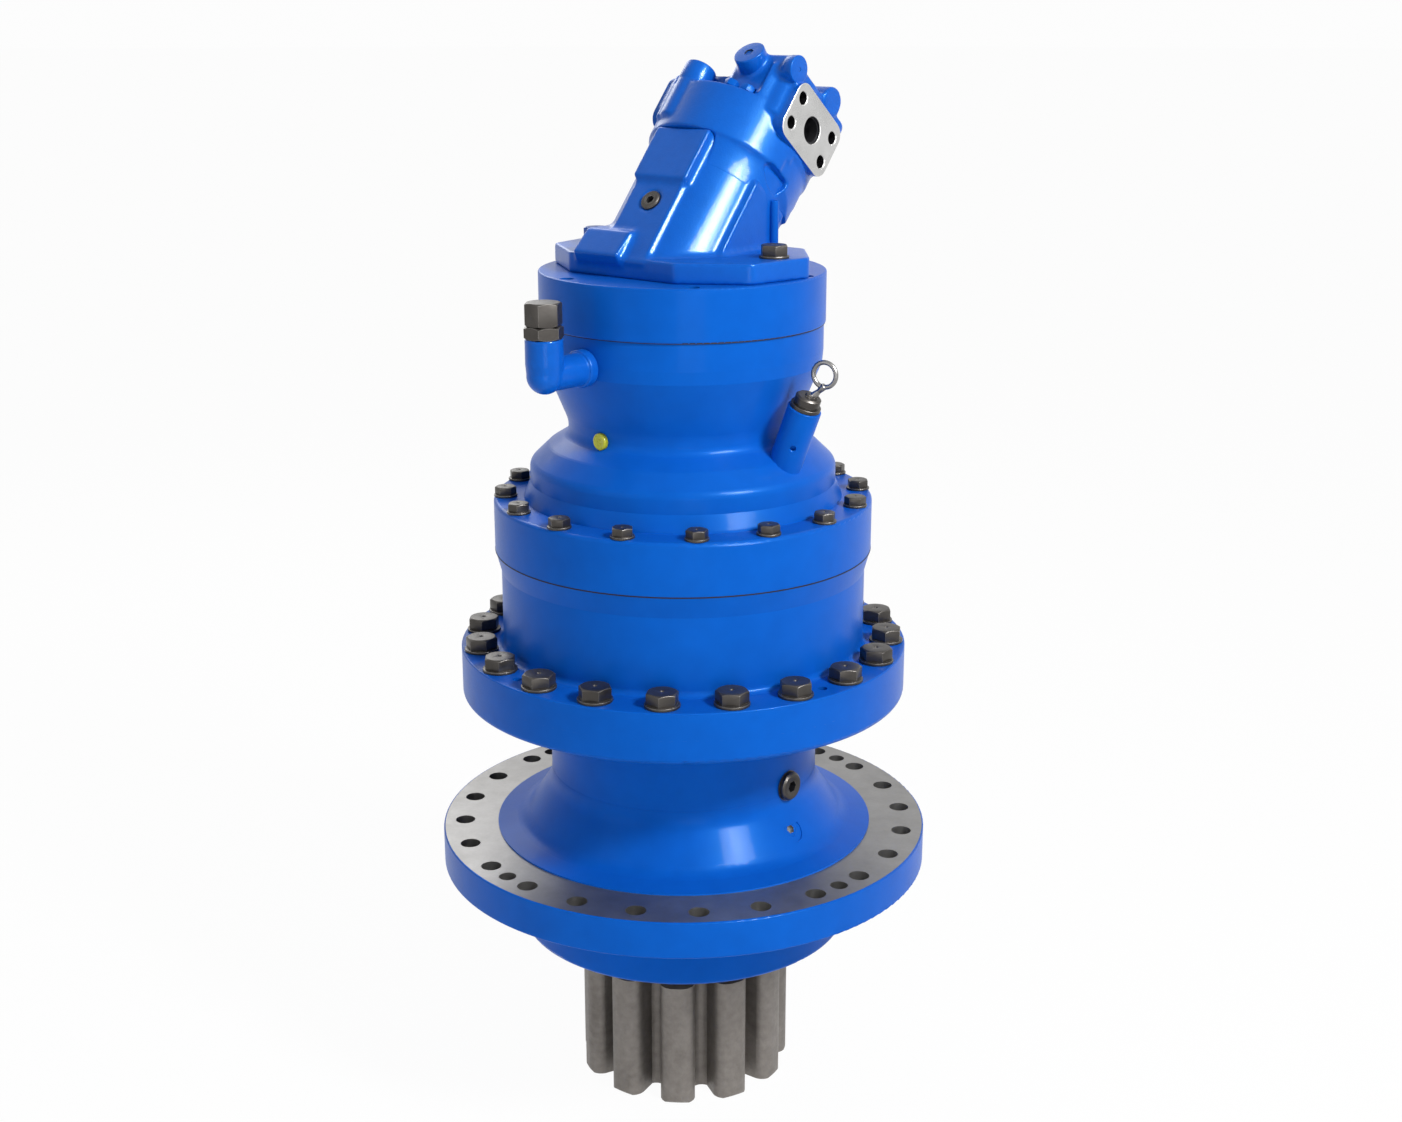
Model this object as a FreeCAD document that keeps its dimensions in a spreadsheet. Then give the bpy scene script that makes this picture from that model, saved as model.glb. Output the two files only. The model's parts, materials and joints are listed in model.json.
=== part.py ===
import FreeCAD, Part
import Sketcher
import math
import os

# Excavator swing gearbox: bent-axis motor, spring-applied brake, two planetary stages, output pinion.
# Millimetres. The origin is the centre of the mounting flange's lower face, and +Z points up to the motor.

SIZES = {
    # Output housing, from the pilot spigot up to the middle flange
    "spigot_radius": 220,
    "spigot_depth": 93,
    "flange_radius": 323.5,
    "flange_thickness": 48,
    "flange_edge_break": 2,
    "land_radius": 250.7,
    "land_rise": 2,
    "cone_foot_radius": 214,
    "cone_foot_height": 10,
    "cone_top_radius": 180,
    "cone_top_height": 107,
    "neck_radius": 176.5,
    "collar_radius": 179.5,
    "collar_height": 178,
    "housing_height": 268,
    "housing_round": 14,
    # Holes in the mounting flange
    "mount_pitch_radius": 295,
    "mount_hole_radius": 13,
    "mount_hole_count": 24,
    "mount_hole_angle": 4.06,
    "jack_hole_radius": 11,
    "jack_hole_count": 4,
    # Middle flange, shared by the output housing and the ring gear housing
    "middle_flange_radius": 291,
    "middle_flange_under": 237,
    "middle_flange_round": 7,
    "middle_flange_plate": 35,
    "middle_bolt_pitch_radius": 266.5,
    "middle_bolt_count": 20,
    "middle_bolt_angle": 13.1,
    "middle_jack_radius": 6,
    "middle_jack_depth": 14,
    # Ring gear housing
    "drum_radius": 236,
    "drum_flare_foot": 403,
    "drum_height": 431,
    "drum_foot_round": 8,
    "drum_lip_radius": 165,
    "drum_lip_thickness": 15,
    "drum_wall_clearance": 2.3,
    "ring_teeth_foot": 302,
    "ring_teeth_top": 404,
    # Brake housing
    "upper_flange_radius": 243.5,
    "upper_flange_thickness": 67,
    "upper_flange_round": 5,
    "shoulder_foot_radius": 205,
    "shoulder_foot_rise": 3,
    "shoulder_radius": 196,
    "shoulder_foot_height": 519.5,
    "shoulder_top_height": 543,
    "shoulder_round": 14,
    "waist_edge_radius": 172,
    "waist_edge_height": 566,
    "waist_edge_round": 14,
    "waist_radius": 146,
    "waist_height": 582,
    "waist_length": 16,
    "waist_round": 13,
    "waist_flare_round": 36,
    "bell_radius": 178,
    "bell_height": 680,
    "bell_bevel": 8,
    "bell_top_height": 722,
    "upper_bolt_pitch_radius": 228,
    "upper_bolt_count": 16,
    "upper_bolt_angle": 4.66,
    "first_ring_bore": 178,
    "oil_space_radius": 163,
    "oil_space_top": 532,
    "oil_space_taper": 18,
    "bell_inner_radius": 125,
    # Brake cover under the motor
    "cover_radius": 180.4,
    "cover_thickness": 65,
    "cover_edge_break": 2.5,
    "cover_shaft_bore": 62,
    "ring_screw_pitch": 168,
    "ring_screw_count": 6,
    "ring_screw_angle": -85.4,
    "ring_screw_radius": 5,
    "ring_screw_head_radius": 9,
    "ring_screw_head_height": 13,
    "ring_screw_socket": 4.6,
    # Screws, from their standards
    "large_screw_radius": 12,
    "large_screw_flats": 36,
    "large_head_height": 15,
    "large_washer_radius": 22,
    "large_washer_thickness": 4,
    "large_screw_length": 62,
    "small_screw_radius": 8,
    "small_screw_flats": 24,
    "small_head_height": 10,
    "small_washer_radius": 15,
    "small_washer_thickness": 3,
    "small_screw_length": 90,
    "washer_clearance": 0.5,
    "screw_end_gap": 2.5,
    # Output shaft and pinion
    "pinion_teeth": 11,
    "pinion_angle": -93.6,
    "pinion_bottom": -312,
    "pinion_width": 171,
    "pinion_tip_radius": 142.5,
    "pinion_root_radius": 97,
    "pinion_root_thickness": 39,
    "pinion_flank_top_radius": 126,
    "pinion_flank_top_thickness": 46,
    "pinion_shoulder_radius": 138,
    "pinion_shoulder_thickness": 36,
    "pinion_crest_width": 12,
    "pinion_end_break": 3,
    "seal_journal_radius": 120,
    "lower_journal_radius": 110,
    "shaft_middle_radius": 104,
    "shaft_shoulder": 6,
    "upper_journal_radius": 85,
    "carrier_seat_radius": 75,
    "shaft_height": 300,
    # Tapered roller bearings, 220 x 340 x 76 and 170 x 260 x 57
    "lower_bearing_foot": -72,
    "lower_cup_radius": 170,
    "lower_cup_width": 57,
    "lower_bearing_width": 76,
    "lower_roller_radius": 15,
    "lower_roller_length": 46,
    "lower_roller_count": 20,
    "upper_bearing_foot": 143,
    "upper_cup_radius": 130,
    "upper_cup_width": 43,
    "upper_bearing_width": 57,
    "upper_roller_radius": 11.5,
    "upper_roller_length": 34,
    "upper_roller_count": 20,
    "roller_tilt": 14,
    "race_lip": 4,
    "running_gap": 0.05,
    "cage_thickness": 4,
    "lock_nut_radius": 110,
    "lock_nut_width": 26,
    "lock_nut_slot": 14,
    "seal_outer_radius": 140,
    "seal_width": 15,
    "seal_shoulder": 3.5,
    "seal_backing": 8,
    "seal_lip_gap": 0.05,
    "retainer_ring_width": 5,
    # Second planetary stage
    "second_module": 9,
    "second_sun_teeth": 15,
    "second_planet_teeth": 15,
    "second_ring_teeth": 45,
    "second_gear_foot": 316,
    "second_gear_width": 72,
    "second_cheek_radius": 188,
    "second_cheek_thickness": 20,
    "second_cheek_gap": 4,
    "second_cheek_hole": 84,
    "second_hub_radius": 105,
    "second_web_inner": 100,
    "second_web_angle": 17,
    "second_pin_radius": 35,
    "second_bush_thickness": 6,
    # First planetary stage
    "first_module": 6,
    "first_sun_teeth": 15,
    "first_planet_teeth": 18,
    "first_ring_teeth": 51,
    "first_gear_foot": 452,
    "first_gear_width": 44,
    "first_cheek_radius": 143,
    "first_cheek_thickness": 16,
    "first_cheek_gap": 3,
    "first_cheek_hole": 56,
    "first_web_inner": 78,
    "first_web_angle": 14,
    "first_pin_radius": 20,
    "first_bush_thickness": 4,
    "first_ring_foot": 431,
    "first_ring_top": 505,
    "gear_backlash": 0.5,
    "sun_shaft_radius": 44,
    "thrust_pad_radius": 30,
    # Input shaft and brake
    "input_shaft_radius": 33,
    "input_shaft_top": 765,
    "motor_shaft_radius": 20,
    "motor_shaft_foot": 712,
    "brake_seat_height": 628,
    "brake_bore_radius": 140,
    "brake_hub_radius": 90,
    "brake_hub_web": 14,
    "steel_disc_thickness": 4.5,
    "steel_disc_count": 4,
    "steel_disc_bore": 96,
    "friction_disc_thickness": 6,
    "friction_disc_radius": 134,
    "disc_gap": 0.15,
    "piston_thickness": 32,
    "piston_head_radius": 148,
    "release_step_height": 684,
    "piston_bore": 97,
    "piston_nose_radius": 134,
    "piston_nose_height": 8,
    "piston_stroke": 2.5,
    "spring_inner_radius": 100,
    "spring_outer_radius": 132,
    "spring_sheet": 4,
    # Pipe elbow and filler cap at the left front of the bell
    "elbow_angle": -130.5,
    "elbow_height": 686,
    "elbow_reach": 246,
    "elbow_barrel_radius": 22.7,
    "elbow_pipe_radius": 20,
    "elbow_collar_radius": 23,
    "elbow_collar_length": 13,
    "elbow_bore_radius": 13,
    "elbow_ball_radius": 20.5,
    "elbow_thread_depth": 12,
    "elbow_top_height": 730,
    "lock_hex_flats": 42,
    "lock_hex_height": 15,
    "cap_hex_flats": 39.5,
    "cap_hex_height": 28,
    # Breather plug on the waist
    "breather_angle": -132,
    "breather_height": 590,
    "breather_radius": 10.5,
    "breather_head": 7,
    "breather_stem_radius": 7.5,
    "breather_stem_length": 12,
    "breather_recess_depth": 2,
    "breather_clearance": 0.5,
    # Dipstick in its leaning tube
    "dipstick_angle": -41,
    "dipstick_lean": 21.8,
    "tube_foot_radius": 167.7,
    "tube_foot_height": 562,
    "tube_length": 79.5,
    "tube_root": 36,
    "tube_radius": 21,
    "tube_bore_radius": 9,
    "dipstick_plug_radius": 16,
    "dipstick_flange_radius": 19,
    "dipstick_plug_height": 17,
    "dipstick_rod_radius": 3.5,
    "dipstick_rod_length": 120,
    "dipstick_flange_thickness": 5,
    "dipstick_stem_length": 20,
    "dipstick_eye_radius": 15,
    "dipstick_wire_radius": 3,
    "dipstick_eye_height": 29,
    "dipstick_eye_offset": 9.5,
    "dipstick_eye_turn": 30,
    "dipstick_neck_root": 6,
    "tube_screw_radius": 3.5,
    "tube_screw_height": 32.5,
    "tube_screw_turn": -50,
    # Plugs on the neck and cone of the output housing
    "level_plug_angle": -40,
    "level_plug_height": 137,
    "level_plug_radius": 18.5,
    "level_plug_head": 7,
    "level_thread_radius": 13,
    "level_thread_length": 20,
    "level_seal_thickness": 1,
    "level_socket_flats": 14,
    "level_socket_depth": 9,
    "drain_plug_angle": -44,
    "drain_plug_height": 84,
    "drain_plug_radius": 8,
    "drain_head_radius": 11,
    "drain_head_height": 4,
    "drain_thread_length": 16,
    "drain_socket_flats": 8,
    "drain_spotface_radius": 16,
    "drain_spotface_depth": 2,
    "drain_bore_depth": 60,
    "cone_lean": 34.8,
    # Motor: flange plate, bend, barrel and port cover
    "motor_flange_thickness": 25,
    "motor_flange_front": 115,
    "motor_flange_front_half": 85,
    "motor_flange_lobe": 176,
    "motor_flange_lobe_front": 62,
    "motor_flange_lobe_side": 162,
    "motor_flange_lobe_back": 30,
    "motor_flange_back": 98,
    "motor_flange_back_half": 118,
    "motor_flange_round": 12,
    "motor_bolt_pitch_radius": 145,
    "motor_bolt_radius": 10,
    "motor_bolt_flats": 30,
    "motor_head_height": 13,
    "motor_washer_radius": 18.5,
    "motor_washer_thickness": 3,
    "motor_bolt_length": 50,
    "motor_pilot_radius": 90,
    "motor_pilot_height": 12,
    "bend_angle": 40,
    "bend_direction": 50,
    "bend_height": 805,
    "barrel_radius": 94,
    "barrel_top": 120,
    "barrel_facet": 97,
    "barrel_facet_half": 42,
    "barrel_step": 46,
    "barrel_lower_facet": 91,
    "barrel_lower_half": 38,
    "barrel_side": 94,
    "barrel_side_half": 36,
    "barrel_below": 90,
    "lug_front": 125,
    "lug_back": 50,
    "lug_left": 70,
    "lug_right": -2,
    "lug_drop": 9,
    "lug_height": 38,
    "lug_slope": 27,
    "lug_undercut": 12,
    "motor_plug_height": 16,
    "motor_plug_radius": 13,
    "motor_plug_recess_radius": 15,
    "motor_plug_recess": 3,
    "motor_plug_socket": 6,
    "motor_cavity_radius": 26,
    "port_cover_radius": 103,
    "port_cover_top": 188,
    "port_block_left": 12,
    "port_block_right": 98,
    "port_block_front": 66,
    "port_block_back": 74,
    "port_block_top": 246,
    "port_block_round": 24,
    "port_height": 194,
    "port_face": 106,
    "port_pad_thickness": 12,
    "port_pad_half_long": 55,
    "port_pad_half_short": 33,
    "port_pad_round": 14,
    "port_radius": 16,
    "port_mouth_radius": 19,
    "port_mouth_depth": 8,
    "port_depth": 55,
    "port_spacing_long": 79.4,
    "port_spacing_short": 36.5,
    "port_thread_radius": 8,
    "port_thread_depth": 30,
    "left_block_front": 62,
    "left_block_top": 226,
    "stop_boss_radius": 20.5,
    "stop_boss_left": 34,
    "stop_boss_front": 82,
    "stop_boss_top": 218,
    "stop_lobe_left": 62,
    "stop_lobe_right": 20,
    "stop_lobe_front": 93,
    "stop_lobe_back": 40,
    "stop_lobe_foot": 137,
    "stop_lobe_round": 8,
    "port_shoulder_foot": 91,
    "port_shoulder_slope": 24,
    "port_shoulder_front": 6,
    "port_shoulder_back": 58,
    "port_shoulder_inner": 50,
    "valve_boss_radius": 17,
    "valve_boss_face": 112,
    "valve_boss_shift": 56,
    "valve_boss_height": 226,
    "valve_boss_depth": 60,
    "side_boss_radius": 19,
    "side_boss_height": 250,
    "side_boss_face": 101,
    "side_boss_back": 17,
    "upper_boss_radius": 17,
    "upper_boss_height": 238,
    "upper_boss_face": 99,
    "upper_boss_front": 62,
    "cover_screw_radius": 5,
    "cover_screw_flats": 17,
    "cover_screw_head": 9,
    "cover_screw_pitch": 93,
}


class Size:
    """A size from the sheet, or one worked out from such sizes: its value, and the expression for it."""

    def __init__(self, value, words):
        self.value = value
        self.words = words

    def __add__(self, other):
        other = as_size(other)
        return Size(self.value + other.value, f"({self.words} + {other.words})")

    def __sub__(self, other):
        other = as_size(other)
        return Size(self.value - other.value, f"({self.words} - {other.words})")

    def __mul__(self, other):
        other = as_size(other)
        return Size(self.value * other.value, f"({self.words} * {other.words})")

    def __truediv__(self, other):
        other = as_size(other)
        return Size(self.value / other.value, f"({self.words} / {other.words})")

    def __neg__(self):
        return Size(-self.value, f"(0 - {self.words})")


class Sizes:
    """Holds each size of the sheet under its alias."""


def as_size(number):
    return number if isinstance(number, Size) else Size(float(number), repr(float(number)))


def degrees(number):
    return Size(as_size(number).value, f"({as_size(number).words} * 1deg)")


def sine(angle):
    return Size(math.sin(math.radians(angle.value)), f"sin({angle.words})")


def cosine(angle):
    return Size(math.cos(math.radians(angle.value)), f"cos({angle.words})")


def tangent(angle):
    return Size(math.tan(math.radians(angle.value)), f"tan({angle.words})")


def arc_sine(ratio):
    return Size(math.degrees(math.asin(ratio.value)), f"asin({ratio.words})")


doc = FreeCAD.newDocument("swing_gearbox")
sheet = doc.addObject("Spreadsheet::Sheet", "Sizes")
dim = Sizes()
for row, (alias, number) in enumerate(SIZES.items(), start=1):
    sheet.set(f"A{row}", alias)
    sheet.set(f"B{row}", str(number))
    sheet.setAlias(f"B{row}", alias)
    setattr(dim, alias, Size(float(number), f"Sizes.{alias}"))
doc.recompute()

UP = FreeCAD.Vector(0, 0, 1)
RIGHT = FreeCAD.Vector(1, 0, 0)
LEFT = FreeCAD.Vector(-1, 0, 0)
FRONT = FreeCAD.Vector(0, -1, 0)
BACK = FreeCAD.Vector(0, 1, 0)
PRESSURE_ANGLE = math.radians(20)
PLANETS = 3
COVER_SCREW_ANGLES = (-70, -57, 75, 110)
parts = {}


def keep(name, piece):
    """Names a finished sub-part, which its file is then called after."""
    piece.Label = name
    parts[name] = piece
    return piece


def bind(piece, name, size):
    """Sets a property of a piece and ties it to the sheet."""
    setattr(piece, name, as_size(size).value)
    piece.setExpression(name, as_size(size).words)


def origin_plane(body, role):
    return next(part for part in body.Origin.OriginFeatures if part.Role == role)


def turned(name, profile, rounds=()):
    """A body turned about Z from (radius, height) corners. Each round is (radius, height, fillet radius)."""
    body = doc.addObject("PartDesign::Body", name + "_body")
    sketch = body.newObject("Sketcher::SketchObject", name + "_profile")
    sketch.AttachmentSupport = [(origin_plane(body, "XZ_Plane"), "")]
    sketch.MapMode = "FlatFace"
    profile = [(as_size(radius), as_size(height)) for radius, height in profile]
    corners = [FreeCAD.Vector(radius.value, height.value, 0) for radius, height in profile]
    count = len(corners)
    sketch.addGeometry([Part.LineSegment(corners[i], corners[(i + 1) % count]) for i in range(count)])
    sketch.addConstraint(
        [Sketcher.Constraint("Coincident", i, 2, (i + 1) % count, 1) for i in range(count)]
    )
    for i, place in enumerate(profile):
        for kind, axis, size in zip(("DistanceX", "DistanceY"), (-2, -1), place):
            if size.value == 0:
                sketch.addConstraint(Sketcher.Constraint("PointOnObject", i, 1, axis))
            else:
                index = sketch.addConstraint(Sketcher.Constraint(kind, -1, 1, i, 1, size.value))
                sketch.setExpression(f"Constraints[{index}]", size.words)
    solid = body.newObject("PartDesign::Revolution", name + "_turned")
    solid.Profile = (sketch, [""])
    solid.ReferenceAxis = (sketch, ["V_Axis"])
    solid.Angle = 360
    doc.recompute()
    for i, (radius, height, size) in enumerate(rounds):
        base = body.Tip
        edge = ring_edge(base.Shape, as_size(radius).value, as_size(height).value)
        fillet = body.newObject("PartDesign::Fillet", f"{name}_round_{i + 1}")
        fillet.Base = (base, [edge])
        bind(fillet, "Radius", size)
        doc.recompute()
    return body


def ring_edge(shape, radius, height):
    """The name of the circular edge about Z at a radius and height."""
    for i, edge in enumerate(shape.Edges, start=1):
        circle = edge.Curve
        if isinstance(circle, Part.Circle) and abs(circle.Axis.z) > 0.999:
            if abs(circle.Radius - radius) < 0.01 and abs(circle.Center.z - height) < 0.01:
                return f"Edge{i}"
    raise ValueError(f"no edge of radius {radius} at height {height}")


def drill(body, name, place, radius, top, depth, count, angle):
    """A circle of holes in a body, from a height downwards."""
    sketch = body.newObject("Sketcher::SketchObject", name + "_circle")
    sketch.AttachmentSupport = [(origin_plane(body, "XY_Plane"), "")]
    sketch.MapMode = "FlatFace"
    top, angle = as_size(top), as_size(angle)
    turn = FreeCAD.Rotation(UP, angle.value)
    sketch.AttachmentOffset = FreeCAD.Placement(FreeCAD.Vector(0, 0, top.value), turn)
    sketch.setExpression("AttachmentOffset.Base.z", top.words)
    sketch.setExpression("AttachmentOffset.Rotation.Angle", angle.words)
    sketch.addGeometry(Part.Circle(FreeCAD.Vector(place.value, 0, 0), UP, radius.value))
    sketch.addConstraint(Sketcher.Constraint("PointOnObject", 0, 3, -1))
    index = sketch.addConstraint(Sketcher.Constraint("DistanceX", -1, 1, 0, 3, place.value))
    sketch.setExpression(f"Constraints[{index}]", place.words)
    index = sketch.addConstraint(Sketcher.Constraint("Radius", 0, radius.value))
    sketch.setExpression(f"Constraints[{index}]", radius.words)
    hole = body.newObject("PartDesign::Pocket", name + "_hole")
    hole.Profile = (sketch, [""])
    bind(hole, "Length", depth)
    pattern = body.newObject("PartDesign::PolarPattern", name + "_pattern")
    pattern.Originals = [hole]
    pattern.Axis = (sketch, ["N_Axis"])
    pattern.Angle = 360
    pattern.Occurrences = int(count.value)
    pattern.setExpression("Occurrences", count.words)
    body.Tip = pattern
    doc.recompute()


def rod(name, radius, length, placement=None):
    """A plain cylinder, used as a piece or as a cutter."""
    piece = doc.addObject("Part::Cylinder", name)
    bind(piece, "Radius", radius)
    bind(piece, "Height", length)
    if placement:
        piece.Placement = placement
    return piece


def hexagon(name, flats, height, placement=None):
    """A hexagonal prism, given by its width across flats."""
    piece = doc.addObject("Part::Prism", name)
    piece.Polygon = 6
    bind(piece, "Circumradius", as_size(flats) / math.sqrt(3))
    bind(piece, "Height", height)
    if placement:
        piece.Placement = placement
    return piece


def block(name, low, high, placement=None):
    """A box between two corners."""
    piece = doc.addObject("Part::Box", name)
    low, high = [as_size(s) for s in low], [as_size(s) for s in high]
    for side, start, end in zip(("Length", "Width", "Height"), low, high):
        bind(piece, side, end - start)
    piece.Placement = (placement or FreeCAD.Placement()).multiply(
        FreeCAD.Placement(FreeCAD.Vector(*[s.value for s in low]), FreeCAD.Rotation())
    )
    return piece


def joined(name, pieces):
    fused = doc.addObject("Part::MultiFuse", name)
    fused.Shapes = pieces
    fused.Refine = True
    return fused


def cut(name, base, tools):
    """A base with one or more cutters taken away."""
    result = doc.addObject("Part::Cut", name)
    result.Base = base
    result.Tool = tools[0] if len(tools) == 1 else joined(name + "_cutters", tools)
    return result


def shaped(name, shape):
    """A piece whose shape is worked out here, because no primitive or sketch fits it."""
    piece = doc.addObject("Part::Feature", name)
    piece.Shape = shape
    return piece


def outward(angle, radius, height, lean=0.0):
    """A placement at a polar place, whose Z points outwards and up by the lean."""
    turn, rise = math.radians(angle.value), math.radians(as_size(lean).value)
    direction = FreeCAD.Vector(
        math.cos(turn) * math.cos(rise), math.sin(turn) * math.cos(rise), math.sin(rise)
    )
    place = FreeCAD.Vector(
        radius.value * math.cos(turn), radius.value * math.sin(turn), as_size(height).value
    )
    return FreeCAD.Placement(place, FreeCAD.Rotation(UP, direction))


def along(placement, distance):
    """The same placement moved along its own Z."""
    shift = FreeCAD.Placement(FreeCAD.Vector(0, 0, as_size(distance).value), FreeCAD.Rotation())
    return placement.multiply(shift)


def polar(radius, angle, height=0.0):
    """A point by radius, angle in radians and height."""
    return FreeCAD.Vector(radius * math.cos(angle), radius * math.sin(angle), height)


# Heights and radii that more than one piece shares
foot = -dim.spigot_depth
drum_foot = dim.housing_height
drum_flange_top = dim.housing_height + dim.middle_flange_plate
upper_flange_top = dim.drum_height + dim.upper_flange_thickness
cover_top = dim.bell_top_height + dim.cover_thickness
second_ring_root = dim.second_module * (dim.second_ring_teeth + 2.5) / 2
second_ring_tip = dim.second_module * (dim.second_ring_teeth - 2) / 2
first_ring_root = dim.first_module * (dim.first_ring_teeth + 2.5) / 2
first_ring_tip = dim.first_module * (dim.first_ring_teeth - 2) / 2
second_centre = dim.second_module * (dim.second_sun_teeth + dim.second_planet_teeth) / 2
first_centre = dim.first_module * (dim.first_sun_teeth + dim.first_planet_teeth) / 2


# Gear teeth

def half_tooth(teeth, module, radius):
    """Half of a tooth's angle at a radius. Under the base circle the flank runs straight to the centre."""
    pitch = teeth * module / 2
    rolled = math.acos(min(pitch * math.cos(PRESSURE_ANGLE) / radius, 1.0))
    involute = math.tan(rolled) - rolled
    at_pitch = math.tan(PRESSURE_ANGLE) - PRESSURE_ANGLE
    return math.pi / 2 / teeth + at_pitch - involute


def toothed(teeth, module, foot_height, width, start, bore):
    """A spur gear. Each flank is two chords, through the involute at root, pitch circle and tip."""
    count, size = int(teeth.value), module.value
    pitch = count * size / 2
    thin = dim.gear_backlash.value / 2 / pitch
    radii = (pitch - 1.25 * size, pitch, pitch + size)
    corners = []
    for k in range(count):
        middle = start + 2 * math.pi * k / count
        flank = [(r, half_tooth(count, size, r) - thin) for r in radii]
        corners += [polar(r, middle - half, foot_height.value) for r, half in flank]
        corners += [polar(r, middle + half, foot_height.value) for r, half in reversed(flank)]
    face = Part.Face(Part.makePolygon(corners + corners[:1]))
    gear = face.extrude(UP * width.value)
    if bore.value > 0:
        gear = gear.cut(Part.makeCylinder(bore.value, width.value, UP * foot_height.value))
    return gear


def ring_gaps(teeth, module, foot_height, height, start):
    """The spaces between the teeth of a ring gear, as prisms that reach in past the tips."""
    count, size = int(teeth.value), module.value
    pitch = count * size / 2
    thin = dim.gear_backlash.value / 2 / pitch
    radii = (pitch - 1.25 * size, pitch, pitch + 1.25 * size)
    gaps = []
    for k in range(count):
        middle = start + 2 * math.pi * (k + 0.5) / count
        flank = [(r, half_tooth(count, size, r) + thin) for r in radii]
        corners = [polar(r, middle - half, foot_height) for r, half in flank]
        corners += [polar(r, middle + half, foot_height) for r, half in reversed(flank)]
        face = Part.Face(Part.makePolygon(corners + corners[:1]))
        gaps.append(face.extrude(UP * height))
    return Part.makeCompound(gaps)


def planet_start(angle, sun_teeth, planet_teeth):
    """The turn of a planet whose gap meets a sun tooth, for a sun with a tooth on +X."""
    phase = 0.5 - angle * sun_teeth.value / (2 * math.pi)
    return angle + math.pi - phase * 2 * math.pi / planet_teeth.value


def ring_start(sun_teeth, planet_teeth, ring_teeth):
    """The turn of the ring gear that takes the planet on +X."""
    phase = -planet_start(0.0, sun_teeth, planet_teeth) * planet_teeth.value / (2 * math.pi)
    return -(phase - 0.5) * 2 * math.pi / ring_teeth.value


# Output housing: pilot spigot, mounting flange, cone, neck and the lower half of the middle flange

def output_housing():
    land_top = dim.flange_thickness + dim.land_rise
    cone_foot = dim.flange_thickness + dim.cone_foot_height
    lower_cup_top = dim.lower_bearing_foot + dim.lower_bearing_width
    upper_cup_foot = dim.upper_bearing_foot
    upper_cup_top = upper_cup_foot + dim.upper_cup_width
    body = turned("output_housing", [
        (dim.lower_cup_radius, foot),
        (dim.spigot_radius, foot),
        (dim.spigot_radius, 0),
        (dim.flange_radius, 0),
        (dim.flange_radius, dim.flange_thickness),
        (dim.land_radius, dim.flange_thickness),
        (dim.land_radius, land_top),
        (dim.cone_foot_radius, cone_foot),
        (dim.cone_top_radius, dim.cone_top_height),
        (dim.neck_radius, dim.cone_top_height),
        (dim.neck_radius, dim.collar_height),
        (dim.collar_radius, dim.collar_height),
        (dim.collar_radius, dim.middle_flange_under),
        (dim.middle_flange_radius, dim.middle_flange_under),
        (dim.middle_flange_radius, dim.housing_height),
        (dim.second_cheek_radius + 8, dim.housing_height),
        (dim.upper_cup_radius, upper_cup_top + 10),
        (dim.upper_cup_radius, upper_cup_foot),
        (dim.upper_cup_radius - 12, upper_cup_foot),
        (dim.upper_cup_radius - 12, lower_cup_top + 20),
        (dim.lower_cup_radius - 16, lower_cup_top),
        (dim.lower_cup_radius, lower_cup_top),
    ], rounds=[
        (dim.middle_flange_radius, dim.middle_flange_under, dim.middle_flange_round),
        (dim.collar_radius, dim.middle_flange_under, dim.housing_round),
        (dim.cone_foot_radius, cone_foot, dim.housing_round * 2),
        (dim.spigot_radius, foot, dim.flange_edge_break * 3),
        (dim.flange_radius, dim.flange_thickness, dim.flange_edge_break),
        (dim.flange_radius, 0, dim.flange_edge_break),
    ])
    drill(body, "mount", dim.mount_pitch_radius, dim.mount_hole_radius, dim.flange_thickness,
          dim.flange_thickness, dim.mount_hole_count, dim.mount_hole_angle)
    between = dim.mount_hole_angle - as_size(360) * 3.5 / dim.mount_hole_count
    drill(body, "jack", dim.mount_pitch_radius, dim.jack_hole_radius, dim.flange_thickness,
          dim.flange_thickness, dim.jack_hole_count, between)
    thread_depth = (dim.large_screw_length - dim.middle_flange_plate - dim.large_washer_thickness
                    + dim.screw_end_gap)
    drill(body, "middle_thread", dim.middle_bolt_pitch_radius, dim.large_screw_radius,
          dim.housing_height, thread_depth, dim.middle_bolt_count, dim.middle_bolt_angle)
    level = outward(dim.level_plug_angle, dim.neck_radius, dim.level_plug_height)
    drain = outward(dim.drain_plug_angle, drain_radius(), dim.drain_plug_height, dim.cone_lean)
    cutters = [
        rod("level_bore", dim.level_thread_radius, dim.neck_radius, along(level, -level_depth())),
        rod("drain_bore", dim.drain_plug_radius, dim.drain_bore_depth, along(drain, -dim.drain_bore_depth / 2)),
        rod("drain_spotface", dim.drain_spotface_radius, dim.drain_bore_depth,
            along(drain, -dim.drain_spotface_depth)),
    ]
    return keep("output_housing", cut("output_housing_machined", body, cutters))


def level_depth():
    """How far the level plug's threaded bore runs into the neck's wall."""
    return dim.neck_radius - dim.upper_cup_radius + 4


def drain_radius():
    """The cone's radius at the height of the drain plug."""
    cone_foot = dim.flange_thickness + dim.cone_foot_height
    slope = (dim.cone_foot_radius - dim.cone_top_radius) / (dim.cone_top_height - cone_foot)
    return dim.cone_foot_radius - slope * (dim.drain_plug_height - cone_foot)


# Ring gear housing: the drum with the second stage's internal teeth

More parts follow.
